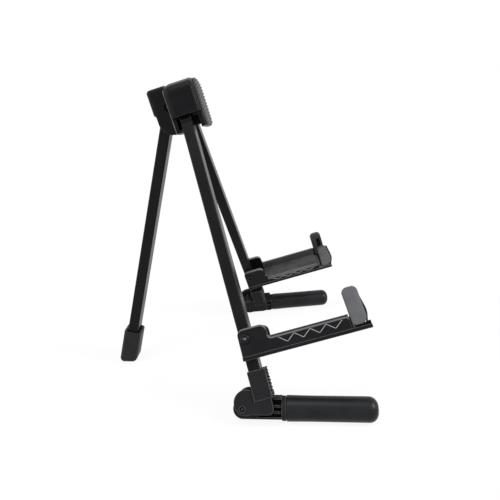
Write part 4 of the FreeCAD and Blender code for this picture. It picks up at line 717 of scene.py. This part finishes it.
LUG_MM = [(93.3, -15.3, 0.1), (94.6, -15.3, 0.1), (93.9, -4.6, 0.4), (92.8, -4.6, 0.4)]
LUG_ACROSS_MM = (12.2, 15.4)
STOP_SPACING_MM = 1.0


def cut_slot(plain, vectors):
    """The outline twice with like points: as it is, and with its foot turned up into the slot for the finger.

    Along the foot between the slot's sides the first has even points, and the second goes up, over and down.
    """
    ahead = plain[:, 0] + STOP_LEAN * (plain[:, 1] - STOP_FOOT_MM)
    foot = plain[:, 1] < STOP_FOOT_MM + TOE_ROUND_MM
    between = foot & (ahead > SLOT_MM[0]) & (ahead < SLOT_MM[1])
    first = np.argmax(foot & (ahead <= SLOT_MM[0]) & np.roll(between, -1))
    around = np.roll(np.arange(len(plain)), -first)
    inside = np.flatnonzero(between[around])
    under = around[np.concatenate([[0], inside, [inside[-1] + 1]])]
    kept = np.append(around[inside[-1] + 1:], around[0])
    where = np.linspace(*SLOT_MM, 8)
    foot_up, foot_ahead, foot_out = [np.interp(where, ahead[under], row[under])
                                     for row in (plain[:, 1], vectors[:, 0], vectors[:, 1])]
    raised = np.where((where > SLOT_MM[0]) & (where < SLOT_MM[1]), SLOT_TOP_MM, foot_up)
    squeezed = where.copy()
    squeezed[[1, -2]] = SLOT_MM
    lean = STOP_LEAN * (np.stack([foot_up, raised]) - STOP_FOOT_MM)
    bottom = np.stack([where - lean[0], foot_up], axis=1)
    slot = np.stack([squeezed - lean[1], raised], axis=1)
    out = np.stack([foot_ahead, foot_out], axis=1)
    return (np.concatenate([bottom, plain[kept]]), np.concatenate([out, vectors[kept]]),
            np.concatenate([slot, plain[kept]]))


def stop_outline(back, front, top, belly):
    """The pad's side outline: a leaning oblong with round corners, and a belly on the inner pad."""
    low = STOP_FOOT_MM
    corners = [(back, low, HEEL_ROUND_MM), (front, low, TOE_ROUND_MM)]
    corners += [(front + BELLY_AHEAD_MM, BELLY_UP_MM, BELLY_ROUND_MM)] if belly else []
    corners += [(front, top, STOP_ROUND_MM), (back, top, STOP_ROUND_MM)]
    leaned = [(ahead - STOP_LEAN * (up - low), up, radius) for ahead, up, radius in corners]
    return filled(*outline(leaned), STOP_SPACING_MM)[:2]


def stop_pad(back, front, top, belly):
    """Rings of the pad's side outline, carried across its thickness: with the slot, without it, drawn in by a
    quarter round at the outer edge, and then shrunk towards the middle of a slightly crowned face."""
    plain, sides, slotted = cut_slot(*stop_outline(back, front, top, belly))
    quarter = np.linspace(0, 0.5 * np.pi, 9)
    inner, outer = STOP_INNER_EDGE_MM, STOP_EDGE_MM
    rings = [(STOP_INSIDE_MM + inner * (1 - np.cos(step)), slotted - inner * (1 - np.sin(step)) * sides)
             for step in quarter]
    rings += [(SLOT_FLOOR_MM, slotted), (SLOT_FLOOR_MM, plain)]
    rings += [(STOP_OUTSIDE_MM - outer * (1 - np.sin(step)), plain - outer * (1 - np.cos(step)) * sides)
              for step in quarter]
    rim = rings[-1][1]
    middle = rim.mean(axis=0)
    rings += [(STOP_OUTSIDE_MM + STOP_CROWN_MM * (1 - share ** 2), middle + share * (rim - middle))
              for share in CROWN_SHARES]
    depth = np.array([ring[0] for ring in rings])[:, None]
    flat = np.stack([ring[1] for ring in rings])
    # Painted shade from the outer quarter round down the pad's sides.
    side_wall_shade = smooth_step(STOP_OUTSIDE_MM, STOP_OUTSIDE_MM - outer, depth) + 0 * flat[..., 0]
    return np.stack([flat[..., 0], depth + 0 * flat[..., 0], flat[..., 1]], axis=-1), side_wall_shade


for side, sign in SIDES.items():
    rivet, arm_axes = arm_frame(side)
    lug = placed(carried(LUG_MM, [sign * out for out in LUG_ACROSS_MM]), rivet, arm_axes)
    piece(f"{side}_stop_lug", tubes(lug), yoke_nylon, f"{side}_arm")
    for flank, way, sizes in (("outer", sign, OUTER_STOP_MM), ("inner", -sign, INNER_STOP_MM)):
        rings, side_wall_shade = stop_pad(*sizes, belly=flank == "inner")
        shape = tubes(placed(rings * (1, way, 1), rivet, arm_axes))
        block = piece(f"{side}_{flank}_stop_rubber", shape, stop_rubber, f"{side}_arm", shade=side_wall_shade)
        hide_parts(f"{side}_stop_{flank}_pad")

# Rear boot
# A black rubber boot pushed over the strut's end, its sole cut level with the floor and rounded at the heel.
# Its mouth is a little wider than the tube, which leaves a dark gap all round.

boot_rubber = finish("boot_rubber", (0.0100, 0.0102, 0.0110), roughness=0.50, specular=0.18, grain=0.0005,
                     patch=0.015, depth=0.00001, edge=(0.06, 0.06, 0.063))
BOOT_HALF_MM, BOOT_CORNER_MM = (9.5, 13.4), 4.5
BOOT_LENGTH_MM, BOOT_SOLE_MM, BOOT_MOUTH_MM = 38.0, 7.0, 4.0
BOOT_SOLE_ROUND_MM, BOOT_RIM_ROUND_MM = 4.2, 0.9
BOOT_HEEL_LIFT_MM, BOOT_HEEL_REACH_MM = 3.2, 12.0
MOUTH_HALF_MM, SEAT_HALF_MM = (6.8, 12.2), (5.65, 11.05)
MOUTH_CORNER_MM = 1.6
REAR_ANGLE = np.radians(14.5)


def box_outline(half, radius):
    """A rectangle with rounded corners about the strut's axis."""
    across, side = half
    return outline([(-across, -side, radius), (across, -side, radius), (across, side, radius),
                    (-across, side, radius)])


def boot_rings(strut_length):
    """Rounded rectangles from the sole up the outside, over the rim, and down the mouth to the tube's seat.

    Rings near the sole tilt with it, and the tilt fades to nothing at the rim. The heel's edge is lifted by the
    square of its distance behind the axis, and less so further up.
    """
    outside, vectors = box_outline(BOOT_HALF_MM, BOOT_CORNER_MM)
    mouth, _ = box_outline(MOUTH_HALF_MM, MOUTH_CORNER_MM)
    seat, _ = box_outline(SEAT_HALF_MM, MOUTH_CORNER_MM)
    quarter = np.linspace(0, 0.5 * np.pi, 9)
    sole, rim, top = BOOT_SOLE_ROUND_MM, BOOT_RIM_ROUND_MM, BOOT_LENGTH_MM
    rings = [(sole * (1 - np.cos(step)), outside - sole * (1 - np.sin(step)) * vectors) for step in quarter]
    rings += [(up, outside) for up in np.linspace(sole, top - rim, 12)[1:]]
    rings += [(top - rim * (1 - np.sin(step)), outside - rim * (1 - np.cos(step)) * vectors)
              for step in quarter[1:]]
    rings += [(top, mouth), (top - BOOT_MOUTH_MM, mouth), (top - BOOT_MOUTH_MM, seat), (BOOT_SOLE_MM, seat)]
    up = np.array([ring[0] for ring in rings])[:, None]
    flat = np.stack([ring[1] for ring in rings])
    tilt = np.tan(REAR_ANGLE) * flat[..., 0] * np.clip(1 - up / top, 0, 1)
    heel = np.clip(-flat[..., 0] / BOOT_HALF_MM[0], 0, 1) ** 2 * np.clip(1 - up / BOOT_HEEL_REACH_MM, 0, 1)
    lift = tilt + BOOT_HEEL_LIFT_MM * heel
    return np.stack([flat[..., 0], flat[..., 1], up + lift - strut_length / MM], axis=-1)


hinge = joints["rear_leg_fold"]["pos_m"]
strut_axes = own_axes((np.cos(REAR_ANGLE), 0.0, -np.sin(REAR_ANGLE)), (0.0, 1.0, 0.0))
rings = placed(boot_rings(hinge[2] / np.cos(REAR_ANGLE)), hinge, strut_axes)
boot = piece("rubber_boot", tubes(rings), boot_rubber, "rear_leg")
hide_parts("rear_boot")

bpy.context.view_layer.update()
